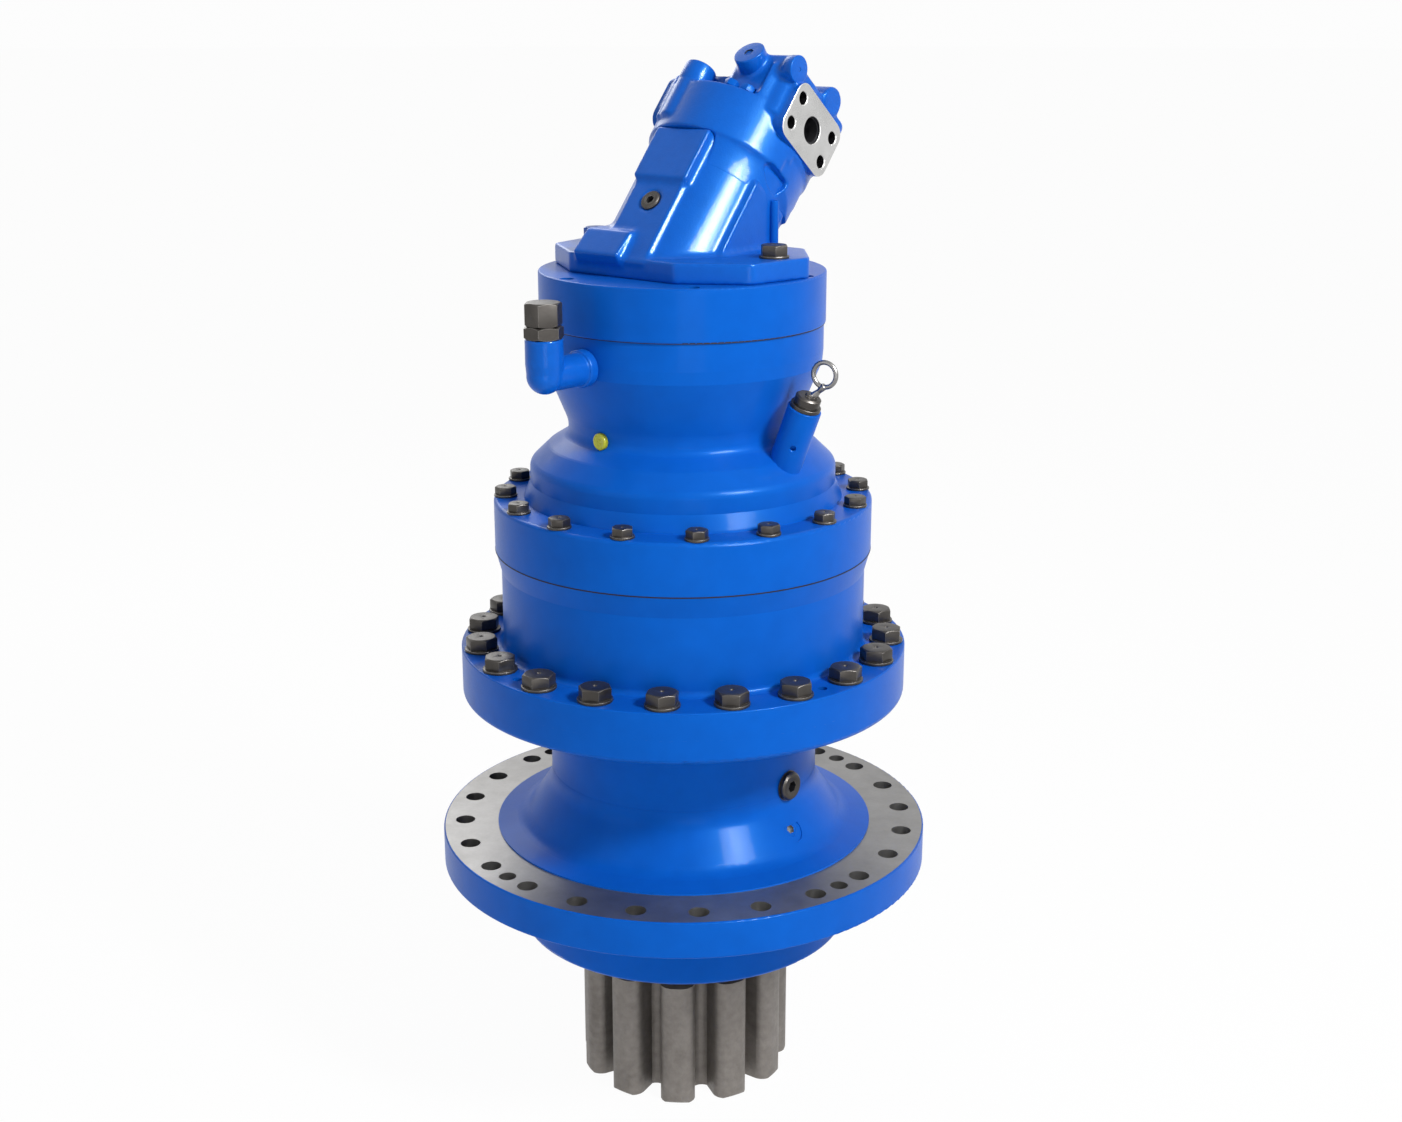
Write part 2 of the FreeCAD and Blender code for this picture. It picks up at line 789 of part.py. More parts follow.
def ring_gear_housing():
    inner = second_ring_root + dim.drum_wall_clearance
    body = turned("ring_gear_housing", [
        (inner, drum_foot),
        (dim.middle_flange_radius, drum_foot),
        (dim.middle_flange_radius, drum_flange_top),
        (dim.drum_radius, drum_flange_top),
        (dim.drum_radius, dim.drum_flare_foot),
        (dim.upper_flange_radius, dim.drum_height),
        (dim.drum_lip_radius, dim.drum_height),
        (dim.drum_lip_radius, dim.drum_height - dim.drum_lip_thickness),
        (inner, dim.drum_height - dim.drum_lip_thickness),
        (inner, dim.ring_teeth_top),
        (second_ring_tip, dim.ring_teeth_top),
        (second_ring_tip, dim.ring_teeth_foot),
        (inner, dim.ring_teeth_foot),
    ], rounds=[
        (dim.drum_radius, drum_flange_top, dim.drum_foot_round),
        (dim.middle_flange_radius, drum_flange_top, dim.flange_edge_break),
    ])
    drill(body, "middle_clearance", dim.middle_bolt_pitch_radius, dim.large_screw_radius,
          drum_flange_top, dim.middle_flange_plate, dim.middle_bolt_count, dim.middle_bolt_angle)
    between = dim.middle_bolt_angle + as_size(3 * 180) / dim.middle_bolt_count
    drill(body, "middle_jack", dim.middle_bolt_pitch_radius, dim.middle_jack_radius, drum_flange_top,
          dim.middle_jack_depth, as_size(4), between)
    drill(body, "upper_thread", dim.upper_bolt_pitch_radius, dim.small_screw_radius,
          dim.drum_height, upper_thread_depth(), dim.upper_bolt_count, dim.upper_bolt_angle)
    start = ring_start(dim.second_sun_teeth, dim.second_planet_teeth, dim.second_ring_teeth)
    height = dim.ring_teeth_top.value - dim.ring_teeth_foot.value
    gaps = shaped("second_ring_gaps", ring_gaps(
        dim.second_ring_teeth, dim.second_module, dim.ring_teeth_foot.value, height, start))
    return keep("ring_gear_housing", cut("ring_gear_housing_toothed", body, [gaps]))


def upper_thread_depth():
    """How far the upper flange's screw holes run into the ring gear housing."""
    return (dim.small_screw_length - dim.upper_flange_thickness - dim.small_washer_thickness
            + dim.screw_end_gap)


# Brake housing: upper flange, shoulder, waist and bell

def brake_housing():
    oil_top = dim.oil_space_top + dim.oil_space_taper
    body = turned("brake_housing", [
        (dim.first_ring_bore, dim.drum_height),
        (dim.upper_flange_radius, dim.drum_height),
        (dim.upper_flange_radius, upper_flange_top),
        (dim.shoulder_foot_radius, upper_flange_top),
        (dim.shoulder_foot_radius - 1, upper_flange_top + dim.shoulder_foot_rise),
        (dim.shoulder_radius, dim.shoulder_foot_height),
        (dim.shoulder_radius, dim.shoulder_top_height),
        (dim.waist_edge_radius, dim.waist_edge_height),
        (dim.waist_radius, dim.waist_height),
        (dim.waist_radius, dim.waist_height + dim.waist_length),
        (dim.bell_radius - dim.bell_bevel / 6, dim.bell_height - dim.bell_bevel),
        (dim.bell_radius, dim.bell_height + dim.bell_bevel),
        (dim.bell_radius, dim.bell_top_height),
        (dim.piston_head_radius, dim.bell_top_height),
        (dim.piston_head_radius, dim.release_step_height),
        (dim.brake_bore_radius, dim.release_step_height),
        (dim.brake_bore_radius, dim.brake_seat_height),
        (dim.bell_inner_radius, dim.brake_seat_height),
        (dim.bell_inner_radius, oil_top),
        (dim.oil_space_radius, dim.oil_space_top),
        (dim.oil_space_radius, dim.first_ring_top),
        (dim.first_ring_bore, dim.first_ring_top),
    ], rounds=[
        (dim.upper_flange_radius, upper_flange_top, dim.upper_flange_round),
        (dim.shoulder_radius, dim.shoulder_top_height, dim.shoulder_round),
        (dim.waist_edge_radius, dim.waist_edge_height, dim.waist_edge_round),
        (dim.waist_radius, dim.waist_height, dim.waist_round),
        (dim.waist_radius, dim.waist_height + dim.waist_length, dim.waist_flare_round),
    ])
    drill(body, "upper_clearance", dim.upper_bolt_pitch_radius, dim.small_screw_radius,
          upper_flange_top, dim.upper_flange_thickness, dim.upper_bolt_count, dim.upper_bolt_angle)
    elbow = outward(dim.elbow_angle, dim.bell_radius, dim.elbow_height)
    breather = outward(dim.breather_angle, dim.waist_radius, dim.breather_height)
    tube = along(tube_place(), -dim.tube_root)
    wall = dim.waist_radius - dim.bell_inner_radius
    cutters = [
        rod("elbow_bore", dim.elbow_pipe_radius, dim.elbow_thread_depth * 2,
            along(elbow, -dim.elbow_thread_depth)),
        rod("breather_bore", dim.breather_stem_radius, wall * 2, along(breather, -wall * 1.5)),
        rod("breather_seat", dim.breather_radius + dim.breather_clearance, wall, breather),
        rod("tube_seat", dim.tube_radius, dim.tube_root + dim.tube_length, tube),
        rod("dipstick_bore", dim.tube_bore_radius, dim.tube_root * 2, along(tube, -dim.tube_root * 1.5)),
    ]
    return keep("brake_housing", cut("brake_housing_bored", body, cutters))


def tube_place():
    """The foot of the dipstick tube's visible length, with Z along its lean."""
    return outward(dim.dipstick_angle, dim.tube_foot_radius, dim.tube_foot_height,
                   as_size(90) - dim.dipstick_lean)


# Brake cover: the ring that closes the brake and carries the motor

def brake_cover():
    body = turned("brake_cover", [
        (dim.cover_shaft_bore, dim.bell_top_height),
        (dim.cover_radius, dim.bell_top_height),
        (dim.cover_radius, cover_top),
        (dim.motor_pilot_radius, cover_top),
        (dim.motor_pilot_radius, cover_top - dim.motor_pilot_height - 2),
        (dim.cover_shaft_bore, cover_top - dim.motor_pilot_height - 2),
    ], rounds=[
        (dim.cover_radius, cover_top, dim.cover_edge_break),
        (dim.cover_radius, dim.bell_top_height, dim.cover_edge_break),
    ])
    drill(body, "motor_thread", dim.motor_bolt_pitch_radius, dim.motor_bolt_radius, cover_top,
          dim.motor_bolt_length - dim.motor_flange_thickness, as_size(2), dim.bend_direction - 90)
    drill(body, "cover_screw", dim.ring_screw_pitch, dim.ring_screw_head_radius, cover_top,
          dim.ring_screw_head_height, dim.ring_screw_count, dim.ring_screw_angle)
    drill(body, "cover_shank", dim.ring_screw_pitch, dim.ring_screw_radius,
          cover_top - dim.ring_screw_head_height, dim.cover_thickness - dim.ring_screw_head_height,
          dim.ring_screw_count, dim.ring_screw_angle)
    return keep("brake_cover", body)


# Tapered roller bearings, back to back: cups against the housing, cones on the shaft

def taper_bearing(name, journal, cup_radius, middle, outer_end, inner_end, cup_ends, roller_radius,
                  roller_length, count, downwards):
    """Cup, cone, rollers and cage. The races meet at one apex, above the lower bearing or below the upper."""
    pitch = (journal + cup_radius) / 2
    tilt = degrees(dim.roller_tilt)
    reach = pitch / sine(tilt)
    spread = arc_sine(roller_radius / reach)
    rise = pitch / tangent(tilt)
    apex = middle + rise if downwards else middle - rise

    def race(height, angle):
        """A race's radius at a height."""
        distance = apex - height if downwards else height - apex
        return distance * tangent(angle)

    cup_angle = Size(tilt.value + spread.value, f"({tilt.words} + {spread.words})")
    cone_angle = Size(tilt.value - spread.value, f"({tilt.words} - {spread.words})")
    low, high = cup_ends
    cup = turned(name + "_cup", [
        (race(low, cup_angle), low),
        (cup_radius, low),
        (cup_radius, high),
        (race(high, cup_angle), high),
    ])
    half = roller_length / 2 + roller_radius * sine(tilt) + dim.running_gap * 4
    inner = race(middle - half, cone_angle), middle - half
    outer = race(middle + half, cone_angle), middle + half
    first, last = (outer_end, inner_end) if downwards else (inner_end, outer_end)
    cone = turned(name + "_cone", [
        (journal, first),
        (inner[0] + dim.race_lip, first),
        (inner[0] + dim.race_lip, inner[1]),
        inner,
        outer,
        (outer[0] + dim.race_lip, outer[1]),
        (outer[0] + dim.race_lip, last),
        (journal, last),
    ])
    rollers, windows = [], []
    way = -1 if downwards else 1
    lean = math.radians(tilt.value)
    near = (reach - roller_length / 2).value
    far = (reach + roller_length / 2).value
    for k in range(int(count.value)):
        turn = 2 * math.pi * k / int(count.value)
        direction = FreeCAD.Vector(
            math.sin(lean) * math.cos(turn), math.sin(lean) * math.sin(turn), way * math.cos(lean))
        start = UP * apex.value
        for group, gap, extra in ((rollers, -dim.running_gap.value, 0), (windows, 0.4, 0.4)):
            slope = math.sin(math.radians(spread.value))
            group.append(Part.makeCone(
                (near - extra) * slope + gap, (far + extra) * slope + gap, far - near + 2 * extra,
                start + direction * (near - extra), direction))
    keep(name + "_cup", cup)
    keep(name + "_cone", cone)
    keep(name + "_rollers", shaped(name + "_roller_set", Part.makeCompound(rollers)))
    wall = dim.cage_thickness / 2
    bottom, top = middle - roller_length / 2 - 3, middle + roller_length / 2 + 3
    shell = turned(name + "_cage", [
        (race(bottom, tilt) - wall, bottom),
        (race(bottom, tilt) + wall, bottom),
        (race(top, tilt) + wall, top),
        (race(top, tilt) - wall, top),
    ])
    slots = shaped(name + "_windows", Part.makeCompound(windows))
    keep(name + "_cage", cut(name + "_cage_slotted", shell, [slots]))


def bearings():
    lower_top = dim.lower_bearing_foot + dim.lower_bearing_width
    taper_bearing(
        "lower_bearing", dim.lower_journal_radius, dim.lower_cup_radius,
        lower_top - dim.lower_cup_width / 2 - 4, dim.lower_bearing_foot, lower_top,
        (lower_top - dim.lower_cup_width, lower_top), dim.lower_roller_radius,
        dim.lower_roller_length, dim.lower_roller_count, True)
    upper_top = dim.upper_bearing_foot + dim.upper_bearing_width
    taper_bearing(
        "upper_bearing", dim.upper_journal_radius, dim.upper_cup_radius,
        dim.upper_bearing_foot + dim.upper_cup_width / 2 + 4, upper_top, dim.upper_bearing_foot,
        (dim.upper_bearing_foot, dim.upper_bearing_foot + dim.upper_cup_width),
        dim.upper_roller_radius, dim.upper_roller_length, dim.upper_roller_count, False)


# Seal in its carrier ring at the spigot's mouth

def shaft_seal():
    base = foot + dim.retainer_ring_width
    seal_top = base + dim.seal_width
    carrier_top = dim.lower_bearing_foot + dim.lower_bearing_width - dim.lower_cup_width
    wall = dim.lower_cup_radius - dim.seal_backing
    shoulder = dim.seal_outer_radius - dim.seal_shoulder
    keep("seal_carrier", turned("seal_carrier", [
        (dim.seal_outer_radius, base),
        (dim.lower_cup_radius, base),
        (dim.lower_cup_radius, carrier_top),
        (wall, carrier_top),
        (wall, seal_top + dim.seal_backing),
        (shoulder, seal_top + dim.seal_backing),
        (shoulder, seal_top),
        (dim.seal_outer_radius, seal_top),
    ]))
    lip = dim.seal_journal_radius + dim.seal_lip_gap
    keep("shaft_seal", turned("shaft_seal", [
        (lip + 4, base),
        (dim.seal_outer_radius, base),
        (dim.seal_outer_radius, seal_top),
        (dim.seal_outer_radius - 6, seal_top),
        (dim.seal_outer_radius - 6, base + 4),
        (lip + 4, base + 6),
        (lip, base + 4),
    ]))
    keep("seal_retaining_ring", turned("seal_retaining_ring", [
        (dim.seal_outer_radius + dim.seal_backing, foot),
        (dim.lower_cup_radius, foot),
        (dim.lower_cup_radius, base),
        (dim.seal_outer_radius + dim.seal_backing, base),
    ]))


# Output shaft with its pinion

def pinion_shaft():
    tip, top = dim.pinion_tip_radius, dim.pinion_bottom + dim.pinion_width
    body = turned("pinion_shaft", [
        (0, dim.pinion_bottom),
        (tip - dim.pinion_end_break, dim.pinion_bottom),
        (tip, dim.pinion_bottom + dim.pinion_end_break),
        (tip, top),
        (dim.seal_journal_radius, top),
        (dim.seal_journal_radius, dim.lower_bearing_foot),
        (dim.lower_journal_radius, dim.lower_bearing_foot),
        (dim.lower_journal_radius, dim.lower_bearing_foot + dim.lower_bearing_width),
        (dim.shaft_middle_radius, dim.lower_bearing_foot + dim.lower_bearing_width),
        (dim.shaft_middle_radius, dim.upper_bearing_foot - dim.shaft_shoulder),
        (dim.upper_journal_radius, dim.upper_bearing_foot - dim.shaft_shoulder),
        (dim.upper_journal_radius, lock_nut_top()),
        (dim.carrier_seat_radius, lock_nut_top()),
        (dim.carrier_seat_radius, dim.shaft_height),
        (0, dim.shaft_height),
    ])
    gullets = shaped("pinion_gullets", Part.makeCompound(pinion_gullets()))
    return keep("pinion_shaft", cut("pinion_shaft_toothed", body, [gullets]))


def pinion_gullets():
    """The spaces between the pinion's teeth. Its flanks are near radial, and its crests are round."""
    count, bottom = int(dim.pinion_teeth.value), dim.pinion_bottom.value
    stations = (
        (dim.pinion_root_radius + 4, dim.pinion_root_thickness),
        (dim.pinion_flank_top_radius, dim.pinion_flank_top_thickness),
        (dim.pinion_shoulder_radius, dim.pinion_shoulder_thickness),
        (dim.pinion_tip_radius, dim.pinion_crest_width),
    )
    halves = [(radius.value, math.asin(width.value / 2 / radius.value)) for radius, width in stations]
    beyond = dim.pinion_tip_radius.value + 5
    gullets = []
    for k in range(count):
        before = math.radians(dim.pinion_angle.value) + 2 * math.pi * k / count
        after = before + 2 * math.pi / count
        rising = [polar(radius, before + half, bottom) for radius, half in halves]
        falling = [polar(radius, after - half, bottom) for radius, half in halves]
        floor = polar(dim.pinion_root_radius.value, (before + after) / 2, bottom)
        corners = polar(beyond, before + halves[3][1], bottom), polar(beyond, after - halves[3][1], bottom)
        edges = [
            Part.LineSegment(rising[0], rising[1]).toShape(),
            Part.Arc(rising[1], rising[2], rising[3]).toShape(),
            Part.LineSegment(rising[3], corners[0]).toShape(),
            Part.LineSegment(corners[0], corners[1]).toShape(),
            Part.LineSegment(corners[1], falling[3]).toShape(),
            Part.Arc(falling[3], falling[2], falling[1]).toShape(),
            Part.LineSegment(falling[1], falling[0]).toShape(),
            Part.Arc(falling[0], floor, rising[0]).toShape(),
        ]
        gullets.append(Part.Face(Part.Wire(edges)).extrude(UP * dim.pinion_width.value))
    return gullets


def lock_nut_top():
    return dim.upper_bearing_foot + dim.upper_bearing_width + dim.lock_nut_width


def bearing_lock_nut():
    low = dim.upper_bearing_foot + dim.upper_bearing_width
    body = turned("bearing_lock_nut", [
        (dim.upper_journal_radius, low),
        (dim.lock_nut_radius, low),
        (dim.lock_nut_radius, lock_nut_top()),
        (dim.upper_journal_radius, lock_nut_top()),
    ])
    slots = []
    for k in range(4):
        place = FreeCAD.Placement(UP * low.value, FreeCAD.Rotation(UP, 90 * k))
        slots.append(block(f"nut_slot_{k + 1}",
                           (dim.lock_nut_radius - 10, -dim.lock_nut_slot / 2, 0),
                           (dim.lock_nut_radius + 10, dim.lock_nut_slot / 2, dim.lock_nut_width),
                           place))
    return keep("bearing_lock_nut", cut("bearing_lock_nut_slotted", body, slots))


# Planet carriers, pins, bushes and gears

def carrier(name, hub_profile, cheek_radius, low, gear_foot, gear_width, gap, thickness, hole,
            web_inner, web_angle, centre, pin_radius):
    """Two cheeks joined by three webs between the planets, bored for the planet pins."""
    lower_top = gear_foot - gap
    upper_low = gear_foot + gear_width + gap
    upper_top = upper_low + thickness
    lower = turned(name + "_lower", hub_profile + [
        (cheek_radius, low),
        (cheek_radius, lower_top),
        (hub_profile[0][0], lower_top),
    ])
    upper = turned(name + "_upper", [
        (hole, upper_low),
        (cheek_radius, upper_low),
        (cheek_radius, upper_top),
        (hole, upper_top),
    ])
    webs, bores = [], []
    for k in range(PLANETS):
        middle = math.radians(60) + 2 * math.pi * k / PLANETS
        half = math.radians(web_angle.value)
        inner, outer = web_inner.value, cheek_radius.value
        corners = [polar(inner, middle - half), polar(inner, middle + half),
                   polar(outer, middle + half), polar(outer, middle), polar(outer, middle - half)]
        edges = [
            Part.LineSegment(corners[0], corners[1]).toShape(),
            Part.LineSegment(corners[1], corners[2]).toShape(),
            Part.Arc(corners[2], corners[3], corners[4]).toShape(),
            Part.LineSegment(corners[4], corners[0]).toShape(),
        ]
        web = Part.Face(Part.Wire(edges)).extrude(UP * (upper_low - lower_top).value)
        web.translate(UP * lower_top.value)
        webs.append(shaped(f"{name}_web_{k + 1}", web))
        turn = 2 * math.pi * k / PLANETS
        place = FreeCAD.Placement(polar(centre.value, turn, low.value), FreeCAD.Rotation())
        bores.append(rod(f"{name}_bore_{k + 1}", pin_radius, upper_top - low, place))
    whole = joined(name + "_whole", [lower, upper] + webs)
    return keep(name, cut(name + "_bored", whole, bores))


def planet_set(stage, letters, centre, gear_foot, gear_width, sun_teeth, planet_teeth, module,
               pin_radius, bush, low, high):
    """Planets with their bushes, and the fixed pins that carry them."""
    pins = []
    for k, letter in enumerate(letters):
        turn = 2 * math.pi * k / PLANETS
        start = planet_start(turn, sun_teeth, planet_teeth)
        gear = toothed(planet_teeth, module, gear_foot, gear_width, start, pin_radius + bush)
        place = polar(centre.value, turn)
        gear.translate(place)
        sleeve = disc(pin_radius + dim.running_gap, pin_radius + bush, gear_foot.value, gear_width)
        sleeve.translate(place)
        pair = Part.makeCompound([gear, sleeve])
        keep(f"{stage}_planet_{letter}", shaped(f"{stage}_planet_{letter}_with_bush", pair))
        pins.append(Part.makeCylinder(pin_radius.value, (high - low).value, place + UP * low.value))
    keep(f"{stage}_planet_pins", shaped(f"{stage}_pins", Part.makeCompound(pins)))


def second_stage():
    low = dim.second_gear_foot - dim.second_cheek_gap - dim.second_cheek_thickness
    high = (dim.second_gear_foot + dim.second_gear_width + dim.second_cheek_gap
            + dim.second_cheek_thickness)
    hub = [
        (dim.carrier_seat_radius, dim.shaft_height),
        (dim.carrier_seat_radius, lock_nut_top()),
        (dim.second_hub_radius, lock_nut_top()),
        (dim.second_hub_radius, low),
    ]
    carrier("second_carrier", hub, dim.second_cheek_radius, low, dim.second_gear_foot,
            dim.second_gear_width, dim.second_cheek_gap, dim.second_cheek_thickness,
            dim.second_cheek_hole, dim.second_web_inner, dim.second_web_angle, second_centre,
            dim.second_pin_radius)
    planet_set("second", "abc", second_centre, dim.second_gear_foot, dim.second_gear_width,
               dim.second_sun_teeth, dim.second_planet_teeth, dim.second_module,
               dim.second_pin_radius, dim.second_bush_thickness, low, high)
    pad_height = dim.second_gear_foot - dim.shaft_height - dim.running_gap
    place = FreeCAD.Placement(UP * dim.shaft_height.value, FreeCAD.Rotation())
    keep("second_thrust_pad", rod("second_pad", dim.thrust_pad_radius, pad_height, place))
    gear = toothed(dim.second_sun_teeth, dim.second_module, dim.second_gear_foot,
                   dim.second_gear_width, 0.0, as_size(0))
    shaft_foot = (dim.second_gear_foot + dim.second_gear_width).value
    shaft = Part.makeCylinder(dim.sun_shaft_radius.value, first_carrier_top().value - shaft_foot,
                              UP * shaft_foot)
    keep("second_sun", shaped("second_sun_gear", gear.fuse(shaft)))


def first_carrier_top():
    """The top of the first carrier's lower cheek, level with the second sun's shaft end."""
    return dim.first_gear_foot - dim.first_cheek_gap


def first_stage():
    low = first_carrier_top() - dim.first_cheek_thickness
    high = (dim.first_gear_foot + dim.first_gear_width + dim.first_cheek_gap
            + dim.first_cheek_thickness)
    hub = [(dim.sun_shaft_radius, low)]
    carrier("first_carrier", hub, dim.first_cheek_radius, low, dim.first_gear_foot,
            dim.first_gear_width, dim.first_cheek_gap, dim.first_cheek_thickness,
            dim.first_cheek_hole, dim.first_web_inner, dim.first_web_angle, first_centre,
            dim.first_pin_radius)
    planet_set("first", "abc", first_centre, dim.first_gear_foot, dim.first_gear_width,
               dim.first_sun_teeth, dim.first_planet_teeth, dim.first_module,
               dim.first_pin_radius, dim.first_bush_thickness, low, high)
    pad_height = dim.first_cheek_gap - dim.running_gap
    place = FreeCAD.Placement(UP * first_carrier_top().value, FreeCAD.Rotation())
    keep("first_thrust_pad", rod("first_pad", dim.thrust_pad_radius, pad_height, place))
    blank = turned("first_ring_gear", [
        (first_ring_tip, dim.first_ring_foot),
        (dim.first_ring_bore, dim.first_ring_foot),
        (dim.first_ring_bore, dim.first_ring_top),
        (first_ring_tip, dim.first_ring_top),
    ])
    start = ring_start(dim.first_sun_teeth, dim.first_planet_teeth, dim.first_ring_teeth)
    height = dim.first_ring_top.value - dim.first_ring_foot.value
    gaps = shaped("first_ring_gaps", ring_gaps(
        dim.first_ring_teeth, dim.first_module, dim.first_ring_foot.value, height, start))
    keep("first_ring_gear", cut("first_ring_gear_toothed", blank, [gaps]))


# Input shaft, with the first sun cut on it, and the motor's shaft in its socket

def input_line():
    gear = toothed(dim.first_sun_teeth, dim.first_module, dim.first_gear_foot,
                   dim.first_gear_width, 0.0, as_size(0))
    teeth_top = (dim.first_gear_foot + dim.first_gear_width).value
    shaft = Part.makeCylinder(dim.input_shaft_radius.value, dim.input_shaft_top.value - teeth_top,
                              UP * teeth_top)
    depth = (dim.input_shaft_top - dim.motor_shaft_foot).value
    socket = Part.makeCylinder(dim.motor_shaft_radius.value, depth, UP * dim.motor_shaft_foot.value)
    keep("input_shaft", shaped("input_shaft_with_sun", gear.fuse(shaft).cut(socket)))
    place = FreeCAD.Placement(UP * dim.motor_shaft_foot.value, FreeCAD.Rotation())
    length = cover_top + dim.motor_flange_thickness - dim.motor_shaft_foot
    keep("motor_shaft", rod("motor_shaft_end", dim.motor_shaft_radius, length, place))
    stack = dim.brake_seat_height + disc_stack()
    rim = dim.brake_hub_radius - 12
    web_low = dim.brake_seat_height + 10
    keep("brake_hub", turned("brake_hub", [
        (dim.input_shaft_radius, dim.brake_seat_height - 4),
        (dim.input_shaft_radius + 12, dim.brake_seat_height - 4),
        (dim.input_shaft_radius + 12, web_low),
        (rim, web_low),
        (rim, dim.brake_seat_height),
        (dim.brake_hub_radius, dim.brake_seat_height),
        (dim.brake_hub_radius, stack),
        (rim, stack),
        (rim, web_low + dim.brake_hub_web),
        (dim.input_shaft_radius, web_low + dim.brake_hub_web),
    ]))


# Brake: steel discs in the housing, friction discs on the hub, piston and disc springs

def disc_stack():
    """The height of the brake discs with their running gaps."""
    steel = dim.steel_disc_count * dim.steel_disc_thickness
    gaps = (dim.steel_disc_count - 1) * dim.disc_gap * 2
    return steel + (dim.steel_disc_count - 1) * dim.friction_disc_thickness + gaps


def disc(bore, radius, low, thickness):
    """A flat ring about Z."""
    whole = Part.makeCylinder(radius.value, thickness.value, UP * low)
    return whole.cut(Part.makeCylinder(bore.value, thickness.value, UP * low))


def brake():
    steel, friction = [], []
    low = dim.brake_seat_height.value
    gap = dim.disc_gap.value
    for k in range(int(dim.steel_disc_count.value)):
        if k:
            friction.append(disc(dim.brake_hub_radius, dim.friction_disc_radius, low + gap,
                                 dim.friction_disc_thickness))
            low += dim.friction_disc_thickness.value + 2 * gap
        steel.append(disc(dim.steel_disc_bore, dim.brake_bore_radius, low,
                          dim.steel_disc_thickness))
        low += dim.steel_disc_thickness.value
    keep("brake_steel_discs", shaped("steel_discs", Part.makeCompound(steel)))
    keep("brake_friction_discs", shaped("friction_discs", Part.makeCompound(friction)))

    base = dim.brake_seat_height + disc_stack() + dim.disc_gap
    head_low = dim.release_step_height + 4
    top = base + dim.piston_thickness
    side = dim.brake_bore_radius - dim.running_gap
    head = dim.piston_head_radius - dim.running_gap
    keep("brake_piston", turned("brake_piston", [
        (dim.piston_bore, base),
        (side, base),
        (side, head_low - 12),
        (side - 3, head_low - 12),
        (side - 3, head_low - 7),
        (side, head_low - 7),
        (side, head_low),
        (head, head_low),
        (head, head_low + 4),
        (head - 3, head_low + 4),
        (head - 3, head_low + 9),
        (head, head_low + 9),
        (head, top),
        (dim.piston_bore, top),
    ]))
    rings = [disc(side - 3, side, (head_low - 12).value, as_size(5)),
             disc(head - 3, head, (head_low + 4).value, as_size(5))]
    keep("piston_seals", shaped("piston_seal_rings", Part.makeCompound(rings)))

    middle = (top + dim.bell_top_height) / 2
    rise = (dim.bell_top_height - top) / 2 - dim.spring_sheet
    inner, outer = dim.spring_inner_radius, dim.spring_outer_radius
    lower = turned("lower_spring", [
        (inner, top),
        (inner + 2, top),
        (outer, top + rise),
        (outer, middle),
        (inner, top + dim.spring_sheet),
    ])
    upper = turned("upper_spring", [
        (outer, middle),
        (outer, middle + dim.spring_sheet),
        (inner + 2, dim.bell_top_height),
        (inner, dim.bell_top_height),
        (inner, dim.bell_top_height - dim.spring_sheet),
    ])
    pair = doc.addObject("Part::Compound", "spring_pair")
    pair.Links = [lower, upper]
    keep("brake_springs", pair)


# Screws with their washers

def screws(name, radius, flats, head, length, washer_radius, washer, pitch, count, angle, seat,
           turn_head=0.0):
    """A circle of hexagon screws with their washers, each a solid of its own."""
    corner = flats.value / math.sqrt(3)
    corners = [polar(corner, math.radians(60 * k + turn_head)) for k in range(6)]
    prism = Part.Face(Part.makePolygon(corners + corners[:1])).extrude(UP * head.value)
    crown = Part.makeCone(corner * 0.93 + head.value, corner * 0.93, head.value)
    prism = prism.common(crown)
    shank = Part.makeCylinder(radius.value, length.value, FreeCAD.Vector(0, 0, -length.value))
    screw = prism.fuse(shank)
    bore = radius.value + dim.washer_clearance.value
    ring = disc(as_size(bore), washer_radius, 0.0, washer)
    group = []
    for k in range(int(count.value)):
        turn = angle.value + 360.0 * k / count.value
        place = polar(pitch.value, math.radians(turn), seat.value)
        for piece, lift in ((screw, washer.value), (ring, 0.0)):
            copy = piece.copy()
            copy.Placement = FreeCAD.Placement(place + UP * lift, FreeCAD.Rotation(UP, turn))
            group.append(copy)
    keep(name + "_screws", shaped(name + "_screw_circle", Part.makeCompound(group)))


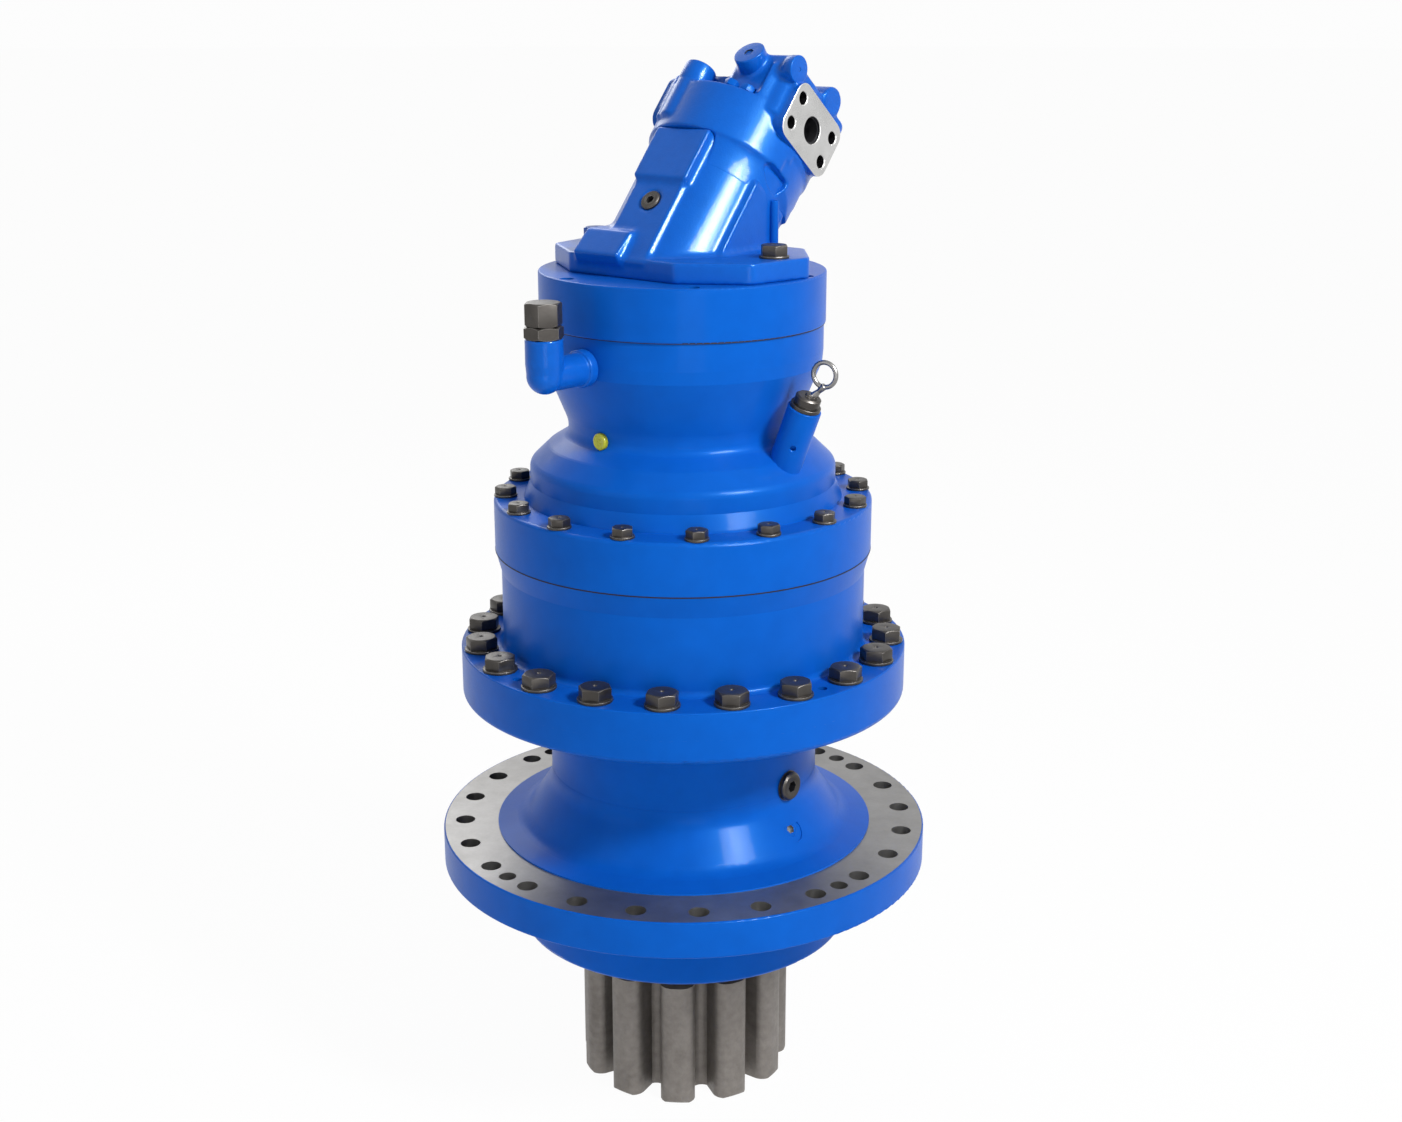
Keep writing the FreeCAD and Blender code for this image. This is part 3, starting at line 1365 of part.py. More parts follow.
def fasteners():
    screws("middle_flange", dim.large_screw_radius, dim.large_screw_flats, dim.large_head_height,
           dim.large_screw_length, dim.large_washer_radius, dim.large_washer_thickness,
           dim.middle_bolt_pitch_radius, dim.middle_bolt_count, dim.middle_bolt_angle,
           drum_flange_top)
    screws("upper_flange", dim.small_screw_radius, dim.small_screw_flats, dim.small_head_height,
           dim.small_screw_length, dim.small_washer_radius, dim.small_washer_thickness,
           dim.upper_bolt_pitch_radius, dim.upper_bolt_count, dim.upper_bolt_angle,
           upper_flange_top)
    screws("motor_flange", dim.motor_bolt_radius, dim.motor_bolt_flats, dim.motor_head_height,
           dim.motor_bolt_length, dim.motor_washer_radius, dim.motor_washer_thickness,
           dim.motor_bolt_pitch_radius, as_size(2), dim.bend_direction - 90,
           cover_top + dim.motor_flange_thickness)
    heads, low = [], cover_top - dim.ring_screw_head_height
    for k in range(int(dim.ring_screw_count.value)):
        turn = math.radians(dim.ring_screw_angle.value + 360 * k / dim.ring_screw_count.value)
        head = Part.makeCylinder(dim.ring_screw_head_radius.value - 1,
                                 dim.ring_screw_head_height.value - 3)
        length = dim.cover_thickness - dim.ring_screw_head_height
        shank = Part.makeCylinder(dim.ring_screw_radius.value, length.value,
                                  FreeCAD.Vector(0, 0, -length.value))
        corners = [polar(dim.ring_screw_socket.value, math.radians(60 * j)) for j in range(6)]
        socket = Part.Face(Part.makePolygon(corners + corners[:1])).extrude(UP * 20)
        screw = head.fuse(shank).cut(socket.translated(UP * 4))
        screw.translate(polar(dim.ring_screw_pitch.value, turn, low.value))
        heads.append(screw)
    keep("brake_cover_screws", shaped("brake_cover_screw_circle", Part.makeCompound(heads)))


# Pipe elbow with its lock nut and filler cap

def elbow():
    radial = outward(dim.elbow_angle, dim.bell_radius - dim.elbow_thread_depth, dim.elbow_height)
    corner = polar(dim.elbow_reach.value, math.radians(dim.elbow_angle.value),
                   dim.elbow_height.value)
    upright = FreeCAD.Placement(corner, FreeCAD.Rotation())
    reach = dim.elbow_reach - dim.bell_radius + dim.elbow_thread_depth
    rise = dim.elbow_top_height - dim.elbow_height
    collar = along(radial, dim.elbow_thread_depth)
    ball = doc.addObject("Part::Sphere", "elbow_corner")
    bind(ball, "Radius", dim.elbow_ball_radius)
    ball.Placement = upright
    body = joined("elbow_body", [
        rod("elbow_arm", dim.elbow_pipe_radius, reach, radial),
        rod("elbow_collar", dim.elbow_collar_radius, dim.elbow_collar_length, collar),
        rod("elbow_barrel", dim.elbow_barrel_radius, rise, upright),
        ball,
    ])
    bores = [
        rod("elbow_arm_bore", dim.elbow_bore_radius, reach, radial),
        rod("elbow_barrel_bore", dim.elbow_bore_radius, rise, upright),
    ]
    keep("filler_elbow", cut("elbow_bored", body, bores))
    top = FreeCAD.Placement(corner + UP * rise.value, FreeCAD.Rotation(UP, dim.elbow_angle.value))
    nut = hexagon("lock_nut_blank", dim.lock_hex_flats, dim.lock_hex_height, top)
    thread = rod("lock_nut_bore", dim.elbow_bore_radius, dim.lock_hex_height, top)
    keep("filler_lock_nut", cut("lock_nut_bored", nut, [thread]))
    cap_seat = along(top, dim.lock_hex_height)
    keep("filler_cap", hexagon("filler_cap_hexagon", dim.cap_hex_flats, dim.cap_hex_height, cap_seat))


# Plugs

def socket_plug(name, place, head_radius, head, thread_radius, thread_length, socket_flats, depth):
    """A round-headed plug with a hexagon socket. The placement's Z points out of the surface."""
    pieces = [
        rod(name + "_head", head_radius, head, place),
        rod(name + "_thread", thread_radius, thread_length, along(place, -thread_length)),
    ]
    socket = hexagon(name + "_socket", socket_flats, depth + 5, along(place, head - depth))
    return keep(name, cut(name + "_socketed", joined(name + "_blank", pieces), [socket]))


def plugs():
    level = outward(dim.level_plug_angle, dim.neck_radius, dim.level_plug_height)
    ring = disc(dim.level_thread_radius, dim.level_plug_radius + 1.5, 0.0, dim.level_seal_thickness)
    seal = shaped("level_seal_ring", ring)
    seal.Placement = level
    keep("level_plug_seal", seal)
    socket_plug("level_plug", along(level, dim.level_seal_thickness), dim.level_plug_radius,
                dim.level_plug_head, dim.level_thread_radius, dim.level_thread_length,
                dim.level_socket_flats, dim.level_socket_depth)
    drain = outward(dim.drain_plug_angle, drain_radius(), dim.drain_plug_height, dim.cone_lean)
    seat = along(drain, -dim.drain_spotface_depth)
    socket_plug("drain_plug", seat, dim.drain_head_radius, dim.drain_head_height,
                dim.drain_plug_radius, dim.drain_thread_length, dim.drain_socket_flats,
                dim.drain_head_height)
    breather = outward(dim.breather_angle, dim.waist_radius, dim.breather_height)
    head = rod("breather_head", dim.breather_radius, dim.breather_head, breather)
    stem = rod("breather_stem", dim.breather_stem_radius, dim.breather_stem_length,
               along(breather, -dim.breather_stem_length))
    recess = hexagon("breather_recess", dim.breather_radius, dim.breather_recess_depth * 2,
                     along(breather, dim.breather_head - dim.breather_recess_depth))
    keep("breather_plug", cut("breather_recessed", joined("breather_blank", [head, stem]), [recess]))


# Dipstick and its leaning tube

def dipstick():
    base = tube_place()
    root = along(base, -dim.tube_root)
    tube = rod("tube_outside", dim.tube_radius, dim.tube_length + dim.tube_root, root)
    bore = rod("tube_inside", dim.tube_bore_radius, dim.tube_length + dim.tube_root, root)
    side = FreeCAD.Rotation(UP, dim.tube_screw_turn.value).multiply(FreeCAD.Rotation(BACK, 90))
    middle = along(base, dim.tube_screw_height).multiply(FreeCAD.Placement(FreeCAD.Vector(), side))
    wall = dim.tube_radius - dim.tube_bore_radius
    screw_place = along(middle, dim.tube_bore_radius + wall / 5)
    hole = rod("tube_screw_hole", dim.tube_screw_radius, wall, screw_place)
    keep("dipstick_tube", cut("dipstick_tube_bored", tube, [bore, hole]))
    keep("tube_screw", rod("tube_screw_body", dim.tube_screw_radius, wall * 0.7, screw_place))

    top = along(base, dim.tube_length + dim.running_gap)
    flange = rod("dipstick_flange", dim.dipstick_flange_radius, dim.dipstick_flange_thickness, top)
    plug = rod("dipstick_plug", dim.dipstick_plug_radius, dim.dipstick_plug_height, top)
    stem = rod("dipstick_stem", dim.tube_bore_radius - dim.running_gap, dim.dipstick_stem_length,
               along(top, -dim.dipstick_stem_length))
    length = dim.dipstick_rod_length
    blade = rod("dipstick_rod", dim.dipstick_rod_radius, length, along(top, -length))
    sideways = dim.dipstick_eye_offset.value * RIGHT
    eye = doc.addObject("Part::Torus", "dipstick_ring")
    bind(eye, "Radius1", dim.dipstick_eye_radius)
    bind(eye, "Radius2", dim.dipstick_wire_radius)
    eye_rise = dim.dipstick_plug_height + dim.dipstick_eye_height
    centre = along(top, eye_rise).Base + sideways
    faced = FreeCAD.Rotation(UP, -dim.dipstick_eye_turn.value).multiply(FreeCAD.Rotation(UP, FRONT))
    eye.Placement = FreeCAD.Placement(centre, faced)
    start = along(top, dim.dipstick_plug_height - dim.dipstick_neck_root).Base + sideways
    reach = centre - UP * dim.dipstick_eye_radius.value - start
    neck = rod("dipstick_neck", dim.dipstick_wire_radius + 1, reach.Length,
               FreeCAD.Placement(start, FreeCAD.Rotation(UP, reach)))
    keep("dipstick", joined("dipstick_body", [flange, plug, stem, blade, eye, neck]))


# Motor

def motor_pose():
    """The motor barrel's own frame: X to the right port, Y under the bend, Z up the barrel."""
    turn = FreeCAD.Rotation(UP, dim.bend_direction.value - 90)
    lean = FreeCAD.Rotation(FreeCAD.Vector(1, 0, 0), -dim.bend_angle.value)
    return FreeCAD.Placement(UP * dim.bend_height.value, turn.multiply(lean))


def local(x, y, z):
    """A placement in the motor barrel's frame."""
    place = FreeCAD.Vector(as_size(x).value, as_size(y).value, as_size(z).value)
    return motor_pose().multiply(FreeCAD.Placement(place, FreeCAD.Rotation()))


def rounded(name, outline, height, radius, placement):
    """A flat plate from (x, y) corners, its upright edges rounded."""
    corners = [FreeCAD.Vector(as_size(x).value, as_size(y).value, 0) for x, y in outline]
    plate = Part.Face(Part.makePolygon(corners + corners[:1])).extrude(UP * as_size(height).value)
    upright = [e for e in plate.Edges if e.BoundBox.ZLength > as_size(height).value / 2]
    piece = shaped(name, plate.makeFillet(as_size(radius).value, upright))
    piece.Placement = placement
    return piece


def motor_housing():
    flange_top = cover_top + dim.motor_flange_thickness
    flat = FreeCAD.Placement(
        UP * cover_top.value, FreeCAD.Rotation(UP, dim.bend_direction.value - 90))
    front, lobe = -dim.motor_flange_front, dim.motor_flange_lobe
    outline = [
        (-dim.motor_flange_front_half, front),
        (dim.motor_flange_front_half, front),
        (dim.motor_flange_lobe_side, -dim.motor_flange_lobe_front),
        (lobe, dim.motor_flange_lobe_back),
        (dim.motor_flange_back_half, dim.motor_flange_back),
        (-dim.motor_flange_back_half, dim.motor_flange_back),
        (-lobe, dim.motor_flange_lobe_back),
        (-dim.motor_flange_lobe_side, -dim.motor_flange_lobe_front),
    ]
    flange = rounded("motor_flange", outline, dim.motor_flange_thickness,
                     dim.motor_flange_round, flat)
    pilot = rod("motor_pilot", dim.motor_pilot_radius, dim.motor_pilot_height + 5,
                FreeCAD.Placement(UP * (cover_top - dim.motor_pilot_height).value,
                                  FreeCAD.Rotation()))
    whole_length = dim.barrel_top + dim.barrel_below
    barrel = rod("motor_barrel", dim.barrel_radius, whole_length, local(0, 0, -dim.barrel_below))
    half, low_half = dim.barrel_facet_half, dim.barrel_lower_half
    saddle = block("motor_saddle", (-half, -dim.barrel_facet, dim.barrel_step),
                   (half, 0, dim.barrel_top), motor_pose())
    spine = block("motor_spine", (-low_half, -dim.barrel_lower_facet, -dim.barrel_below),
                  (low_half, 0, dim.barrel_top), motor_pose())
    facet = block("motor_facet", (-half * 2, -dim.barrel_radius - 5, dim.barrel_step),
                  (half * 2, -dim.barrel_facet, dim.barrel_top + 10), motor_pose())
    low_facet = block("motor_low_facet", (-half * 2, -dim.barrel_radius - 5, -dim.barrel_below * 2),
                      (half * 2, -dim.barrel_lower_facet, dim.barrel_step), motor_pose())
    sides = block("motor_sides", (-dim.barrel_side, -dim.barrel_side_half, -dim.barrel_below),
                  (dim.barrel_side, dim.barrel_side_half, dim.barrel_top - 30), motor_pose())
    faceted = cut("motor_barrel_faceted", barrel, [facet, low_facet])
    tilted = joined("motor_barrel_whole", [faceted, saddle, spine, sides])
    trim = block("motor_trim", (-400, -400, -400), (400, 400, flange_top - 5))
    trimmed = cut("motor_barrel_trimmed", tilted, [trim])
    lug = shaped("motor_lug", lug_shape(flange_top - dim.lug_drop))
    body = joined("motor_housing_body", [flange, pilot, trimmed, lug])
    plug = local(0, -dim.barrel_lower_facet, dim.motor_plug_height)
    plug.Rotation = plug.Rotation.multiply(FreeCAD.Rotation(UP, FRONT))
    turn = dim.bend_direction - 90
    left, right = outward(turn + 180, dim.motor_bolt_pitch_radius, cover_top), outward(
        turn, dim.motor_bolt_pitch_radius, cover_top)
    thickness = dim.motor_flange_thickness
    cutters = [
        rod("motor_plug_recess", dim.motor_plug_recess_radius, 20,
            along(plug, -dim.motor_plug_recess)),
        rod("motor_plug_bore", dim.motor_plug_radius - 3, 22, along(plug, -20)),
        rod("motor_left_hole", dim.motor_bolt_radius, thickness,
            FreeCAD.Placement(left.Base, FreeCAD.Rotation())),
        rod("motor_right_hole", dim.motor_bolt_radius, thickness,
            FreeCAD.Placement(right.Base, FreeCAD.Rotation())),
        rod("motor_left_room", dim.motor_washer_radius + 1, 60,
            FreeCAD.Placement(left.Base + UP * thickness.value, FreeCAD.Rotation())),
        rod("motor_right_room", dim.motor_washer_radius + 1, 60,
            FreeCAD.Placement(right.Base + UP * thickness.value, FreeCAD.Rotation())),
        rod("motor_cavity", dim.motor_cavity_radius, thickness + dim.motor_pilot_height + 20,
            FreeCAD.Placement(UP * (cover_top - dim.motor_pilot_height).value,
                              FreeCAD.Rotation())),
    ]
    keep("motor_housing", cut("motor_housing_machined", body, cutters))
    socket_plug("motor_case_plug", along(plug, -dim.motor_plug_recess), dim.motor_plug_radius, 5,
                dim.motor_plug_radius - 3, 14, 10, 7)


def lug_shape(low):
    """The cast block on the left front of the flange, its front face sloped and undercut."""
    front, back = -dim.lug_front.value, -dim.lug_back.value
    high, slope, undercut = dim.lug_height.value, dim.lug_slope.value, dim.lug_undercut.value
    side = [(back, 0), (front + undercut / 2, 0), (front, undercut), (front + slope, high), (back, high)]
    corners = [FreeCAD.Vector(-dim.lug_left.value, y, z) for y, z in side]
    width = dim.lug_left.value - dim.lug_right.value
    shape = Part.Face(Part.makePolygon(corners + corners[:1])).extrude(RIGHT * width)
    shape.Placement = FreeCAD.Placement(
        UP * low.value, FreeCAD.Rotation(UP, dim.bend_direction.value - 90))
    return shape


def facing(placement, way, turn=0.0):
    """The same place with Z turned to one side of its own frame, then turned about that Z."""
    rotation = FreeCAD.Rotation(UP, way).multiply(FreeCAD.Rotation(UP, turn))
    return placement.multiply(FreeCAD.Placement(FreeCAD.Vector(), rotation))


def port_pad(name, place):
    """The machined pad of a four-bolt flange port, and the neck that carries it."""
    far, near = dim.port_pad_half_long, dim.port_pad_half_short
    outline = [(-far, -near), (far, -near), (far, near), (-far, near)]
    return rounded(name, outline, dim.port_pad_thickness * 2, dim.port_pad_round,
                   along(place, -dim.port_pad_thickness * 2))


def port_cutters(name, place):
    """The stepped bore and the four threaded holes of a flange port."""
    cutters = [
        rod(name + "_bore", dim.port_radius, dim.port_depth, along(place, -dim.port_depth)),
        rod(name + "_mouth", dim.port_mouth_radius, dim.port_mouth_depth,
            along(place, -dim.port_mouth_depth)),
    ]
    far, near = dim.port_spacing_long.value / 2, dim.port_spacing_short.value / 2
    for k, (i, j) in enumerate(((-1, -1), (-1, 1), (1, 1), (1, -1)), start=1):
        spot = FreeCAD.Vector(i * far, j * near, -dim.port_thread_depth.value)
        hole = place.multiply(FreeCAD.Placement(spot, FreeCAD.Rotation()))
        cutters.append(rod(f"{name}_thread_{k}", dim.port_thread_radius, dim.port_thread_depth, hole))
    return cutters


def boss(name, radius, place, depth):
    """A round boss that ends at a face, given by the face's placement."""
    return rod(name, radius, depth, along(place, -depth))


def motor_cover():
    ring = rod("cover_ring", dim.port_cover_radius, dim.port_cover_top - dim.barrel_top,
               local(0, 0, dim.barrel_top))
    sunk = dim.port_block_round / 2
    tower = rounded("port_block", [
        (-dim.port_block_left, -dim.port_block_front),
        (dim.port_block_right, -dim.port_block_front),
        (dim.port_block_right, dim.port_block_back),
        (-dim.port_block_left, dim.port_block_back),
    ], dim.port_block_top - dim.port_cover_top + sunk, dim.port_block_round,
        local(0, 0, dim.port_cover_top - sunk))
    left_block = rounded("left_port_block", [
        (-dim.port_block_right, -dim.left_block_front),
        (0, -dim.left_block_front),
        (0, dim.port_block_back),
        (-dim.port_block_right, dim.port_block_back),
    ], dim.left_block_top - dim.port_cover_top + sunk, dim.port_block_round / 2,
        local(0, 0, dim.port_cover_top - sunk))
    right_port = facing(local(dim.port_face, 0, dim.port_height), RIGHT, 90)
    left_port = facing(local(-dim.port_face, 0, dim.port_height), LEFT, 90)
    front_valve = facing(
        local(dim.valve_boss_shift, -dim.valve_boss_face, dim.valve_boss_height), FRONT)
    side_valve = facing(
        local(dim.side_boss_face, dim.side_boss_back, dim.side_boss_height), RIGHT)
    upper_valve = facing(
        local(dim.upper_boss_face, -dim.upper_boss_front, dim.upper_boss_height), RIGHT)
    stop = local(-dim.stop_boss_left, -dim.stop_boss_front, dim.stop_boss_top)
    lobe = rounded("stop_lobe", [
        (-dim.stop_lobe_left, -dim.stop_lobe_front),
        (-dim.stop_lobe_right, -dim.stop_lobe_front),
        (-dim.stop_lobe_right, -dim.stop_lobe_back),
        (-dim.stop_lobe_left, -dim.stop_lobe_back),
    ], dim.port_cover_top - dim.stop_lobe_foot, dim.stop_lobe_round,
        local(0, 0, dim.stop_lobe_foot))
    whole = joined("motor_cover_body", [
        ring, tower, left_block, lobe, shaped("port_shoulder", port_shoulder()),
        port_pad("right_port_pad", right_port),
        port_pad("left_port_pad", left_port),
        boss("stop_boss", dim.stop_boss_radius, stop, dim.stop_boss_top - dim.stop_lobe_foot),
        boss("front_valve_boss", dim.valve_boss_radius, front_valve, dim.valve_boss_depth),
        boss("side_valve_boss", dim.side_boss_radius, side_valve, dim.valve_boss_depth),
        boss("upper_valve_boss", dim.upper_boss_radius, upper_valve, dim.valve_boss_depth),
    ])
    cutters = port_cutters("right_port", right_port) + port_cutters("left_port", left_port)
    screws_at = cover_screw_places()
    depth = dim.port_cover_top - dim.barrel_top
    for k, place in enumerate(screws_at, start=1):
        cutters.append(rod(f"cover_screw_hole_{k}", dim.cover_screw_radius, depth,
                           along(place, -depth)))
    keep("motor_port_cover", cut("motor_cover_machined", whole, cutters))
    keep("motor_cover_screws", cover_screws(screws_at))


def port_shoulder():
    """The block under the right port, its foot sloped towards the barrel."""
    inner, outer = dim.port_shoulder_inner.value, dim.port_cover_radius.value
    foot_height, slope = dim.port_shoulder_foot.value, dim.port_shoulder_slope.value
    top = dim.barrel_top.value + dim.port_block_round.value
    front, back = -dim.port_shoulder_front.value, dim.port_shoulder_back.value
    side = [(inner, foot_height), (outer - slope / 2, foot_height), (outer, foot_height + slope),
            (outer, top), (inner, top)]
    corners = [FreeCAD.Vector(x, front, z) for x, z in side]
    shape = Part.Face(Part.makePolygon(corners + corners[:1])).extrude(BACK * (back - front))
    shape.Placement = motor_pose()
    return shape.cut(cover_room())


def cover_room():
    """The barrel's own space, which the port shoulder stands clear of."""
    return Part.makeCylinder(dim.barrel_radius.value, dim.barrel_top.value,
                             motor_pose().Base, motor_pose().Rotation.multVec(UP))


def cover_screw_places():
    """The cover screws stand on the open front of the cover's top, and two at its back."""
    places = []
    for angle in COVER_SCREW_ANGLES:
        spot = polar(dim.cover_screw_pitch.value, math.radians(angle))
        places.append(local(spot.x, spot.y, dim.port_cover_top))
    return places


def cover_screws(places):
    corner = dim.cover_screw_flats.value / math.sqrt(3)
    corners = [polar(corner, math.radians(60 * k)) for k in range(6)]
    head = Part.Face(Part.makePolygon(corners + corners[:1])).extrude(
        UP * dim.cover_screw_head.value)
    length = (dim.port_cover_top - dim.barrel_top).value
    screw = head.fuse(Part.makeCylinder(dim.cover_screw_radius.value, length,
                                        FreeCAD.Vector(0, 0, -length)))
    group = []
    for place in places:
        copy = screw.copy()
        copy.Placement = place
        group.append(copy)
    return shaped("cover_screw_set", Part.makeCompound(group))


def check_and_write():
    """Every object has to be sound before any file is written."""
    doc.recompute()
    failed = [o.Name for o in doc.Objects if "Invalid" in o.State or "Error" in o.State]
    failed += [name for name, piece in parts.items()
               if piece.Shape.isNull() or not piece.Shape.isValid() or not piece.Shape.Solids]
    if failed:
        raise RuntimeError("failed: " + ", ".join(failed))
    os.makedirs("parts", exist_ok=True)
    for name, piece in parts.items():
        piece.Shape.exportStep(f"parts/{name}.step")
        print(name, len(piece.Shape.Solids), round(piece.Shape.Volume))


output_housing()
ring_gear_housing()
brake_housing()
brake_cover()
bearings()
shaft_seal()
pinion_shaft()
bearing_lock_nut()
second_stage()
first_stage()
input_line()
brake()
fasteners()
elbow()
plugs()
dipstick()
motor_housing()
motor_cover()
check_and_write()
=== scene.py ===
"""Swing gearbox with a bent-axis motor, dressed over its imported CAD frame.

Sizes are in millimetres in the classes, and the modelling helpers turn them into Blender's metres.
"""

import json
import logging
import math
from contextlib import contextmanager
from dataclasses import dataclass
from enum import Enum
from typing import Callable, Iterator, Sequence

import bpy
from mathutils import Matrix, Vector

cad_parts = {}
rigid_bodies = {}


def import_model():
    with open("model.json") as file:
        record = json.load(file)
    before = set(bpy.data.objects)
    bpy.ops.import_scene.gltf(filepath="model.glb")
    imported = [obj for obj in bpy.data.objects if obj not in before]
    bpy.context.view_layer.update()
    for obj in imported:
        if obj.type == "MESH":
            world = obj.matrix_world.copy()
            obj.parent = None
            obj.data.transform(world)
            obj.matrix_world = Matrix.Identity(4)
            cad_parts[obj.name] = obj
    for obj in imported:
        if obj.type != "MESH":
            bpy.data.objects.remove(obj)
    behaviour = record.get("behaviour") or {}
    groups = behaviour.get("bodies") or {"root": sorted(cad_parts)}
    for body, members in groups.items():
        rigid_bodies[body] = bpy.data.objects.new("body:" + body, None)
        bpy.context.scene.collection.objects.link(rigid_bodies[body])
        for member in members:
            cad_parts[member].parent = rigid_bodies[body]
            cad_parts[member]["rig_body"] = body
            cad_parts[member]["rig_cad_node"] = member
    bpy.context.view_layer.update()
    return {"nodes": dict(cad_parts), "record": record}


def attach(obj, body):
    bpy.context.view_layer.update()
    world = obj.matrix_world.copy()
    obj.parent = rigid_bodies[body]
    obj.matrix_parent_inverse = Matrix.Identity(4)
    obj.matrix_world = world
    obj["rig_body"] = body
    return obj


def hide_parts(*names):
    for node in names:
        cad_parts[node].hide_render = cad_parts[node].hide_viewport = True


log = logging.getLogger("swing_gearbox")

MM = 0.001
TURN = 2 * math.pi
AXIS_Z = Vector((0, 0, 1))
WELD = MM / 1000
CROWN_SLOPE = math.tan(math.radians(30))

Point = tuple[float, float]
Triple = tuple[float, float, float]
Corner = tuple[float, ...]
Piece = bpy.types.Object
Material = bpy.types.Material
Socket = bpy.types.NodeSocket
FaceTest = Callable[[Vector, Vector], bool]


class Body(Enum):
    """The CAD bodies that new pieces ride on."""

    HOUSING = "housing"
    DIPSTICK = "dipstick"


class Slot(Enum):
    """The record's material slots."""

    BLUE = "blue_casting"
    BLACK = "black_oxide"
    PINION = "pinion_steel"
    GEAR = "gear_steel"
    BEARING = "bearing_steel"
    BARE = "bare_steel"
    BRASS = "cage_brass"
    RUBBER = "seal_rubber"
    BREATHER = "breather_plastic"
    LINING = "friction_lining"
    SPRING = "spring_steel"


class Join(Enum):
    """The ways two closed meshes are combined."""

    CUT = "DIFFERENCE"
    FUSE = "UNION"
    MEET = "INTERSECT"


# Places


def polar(radius: float, angle: float, height: float = 0.0) -> Vector:
    """A point from its radius, its angle in degrees and its height."""
    turn = math.radians(angle)
    return Vector((radius * math.cos(turn), radius * math.sin(turn), height))


def upright(place: Vector, turn: float = 0.0) -> Matrix:
    """A pose at a point with its Z up, turned about Z by degrees."""
    return Matrix.Translation(place * MM) @ Matrix.Rotation(math.radians(turn), 4, "Z")


def outward(angle: float, radius: float, height: float, lean: float = 0.0) -> Matrix:
    """A pose on a turned surface whose Z points away from the axis.

    Args:
        angle: the place's direction from the axis, in degrees.
        radius: its distance from the axis.
        height: its height.
        lean: by how many degrees Z is lifted.

    Returns:
        The pose.
    """
    turn = Matrix.Rotation(math.radians(angle), 4, "Z")
    tilt = Matrix.Rotation(math.radians(90 - lean), 4, "Y")
    return Matrix.Translation(polar(radius, angle, height) * MM) @ turn @ tilt


def arc(radius: float, start: float, end: float, steps: int) -> list[Point]:
    """The points of an arc about the origin, from one angle in degrees to another."""
    return [tuple(polar(radius, start + (end - start) * k / steps).xy) for k in range(steps + 1)]


def oblong(half_x: float, half_y: float, *round_off: float) -> list[Corner]:
    """The corners of an oblong about the origin, each with its round where one is given."""
    return [(x * half_x, y * half_y, *round_off) for x, y in ((-1, -1), (1, -1), (1, 1), (-1, 1))]


def along(pose: Matrix, distance: float) -> Matrix:
    """The same pose moved along its own Z."""
    return pose @ Matrix.Translation(AXIS_Z * distance * MM)


def rounded(corners: Sequence[Corner], segments: int = 5) -> list[Point]:
    """Rounds the corners of a closed flat line.

    Args:
        corners: (x, y) or (x, y, radius) for each corner.
        segments: how many pieces each arc has.

    Returns:
        The points of the line with its arcs.
    """
    points: list[Point] = []
    count = len(corners)
    for i, corner in enumerate(corners):
        here = Vector(corner[:2])
        radius = corner[2] if len(corner) > 2 else 0.0
        if radius <= 0:
            points.append((here.x, here.y))
            continue
        before = (Vector(corners[i - 1][:2]) - here).normalized()
        after = (Vector(corners[(i + 1) % count][:2]) - here).normalized()
        half = before.angle(after) / 2
        reach = radius / math.tan(half)
        centre = here + (before + after).normalized() * radius / math.sin(half)
        start, end = here + before * reach - centre, here + after * reach - centre
        sweep = start.angle_signed(end)
        for k in range(segments + 1):
            turn = -sweep * k / segments
            cosine, sine = math.cos(turn), math.sin(turn)
            points.append((centre.x + start.x * cosine - start.y * sine,
                           centre.y + start.x * sine + start.y * cosine))
    return points


# Modelling with operators


def pick(*pieces: Piece) -> None:
    """Selects these pieces alone, the first one active, or nothing where none is given."""
    bpy.ops.object.select_all(action="DESELECT")
    for piece in pieces:
        piece.select_set(True)
    if pieces:
        bpy.context.view_layer.objects.active = pieces[0]


@contextmanager
def editing(piece: Piece) -> Iterator[None]:
    """Edit mode on one piece, with all of it selected."""
    pick(piece)
    bpy.ops.object.mode_set(mode="EDIT")
    bpy.ops.mesh.select_all(action="SELECT")
    try:
        yield
    finally:
        bpy.ops.object.mode_set(mode="OBJECT")


def drawn(name: str, points: Sequence[Vector]) -> Piece:
    """A closed line of edges, drawn point by point.

    Args:
        name: the piece's name.
        points: the line's points in metres.

    Returns:
        The new piece, its edges alone.
    """
    pick()
    bpy.ops.mesh.primitive_plane_add(size=MM)
    piece = bpy.context.object
    piece.name = name
    with editing(piece):
        bpy.ops.mesh.merge(type="CENTER")
        bpy.ops.transform.translate(value=points[0])
        for start, end in zip(points, [*points[1:], points[0]]):
            bpy.ops.mesh.extrude_vertices_move(TRANSFORM_OT_translate={"value": end - start})
        bpy.ops.mesh.select_all(action="SELECT")
        bpy.ops.mesh.remove_doubles(threshold=WELD)
    return piece


def turned(name: str, profile: Sequence[Corner], steps: int = 48, pose: Matrix | None = None,
           segments: int = 4) -> Piece:
    """A closed body spun about Z from its profile.

    Args:
        name: the piece's name.
        profile: (radius, height) or (radius, height, round) for each corner.
        steps: how many faces go round.
        pose: where the body stands.
        segments: how many pieces each rounded corner has.

    Returns:
        The new piece, its place in its mesh.
    """
    line = rounded(profile, segments)
    piece = drawn(name, [Vector((radius, 0, height)) * MM for radius, height in line])
    with editing(piece):
        bpy.ops.mesh.spin(steps=steps, angle=TURN, center=(0, 0, 0), axis=(0, 0, 1))
        bpy.ops.mesh.select_all(action="SELECT")
        bpy.ops.mesh.remove_doubles(threshold=WELD)
        bpy.ops.mesh.dissolve_degenerate(threshold=WELD)
        bpy.ops.mesh.normals_make_consistent(inside=False)
    return placed(piece, pose)


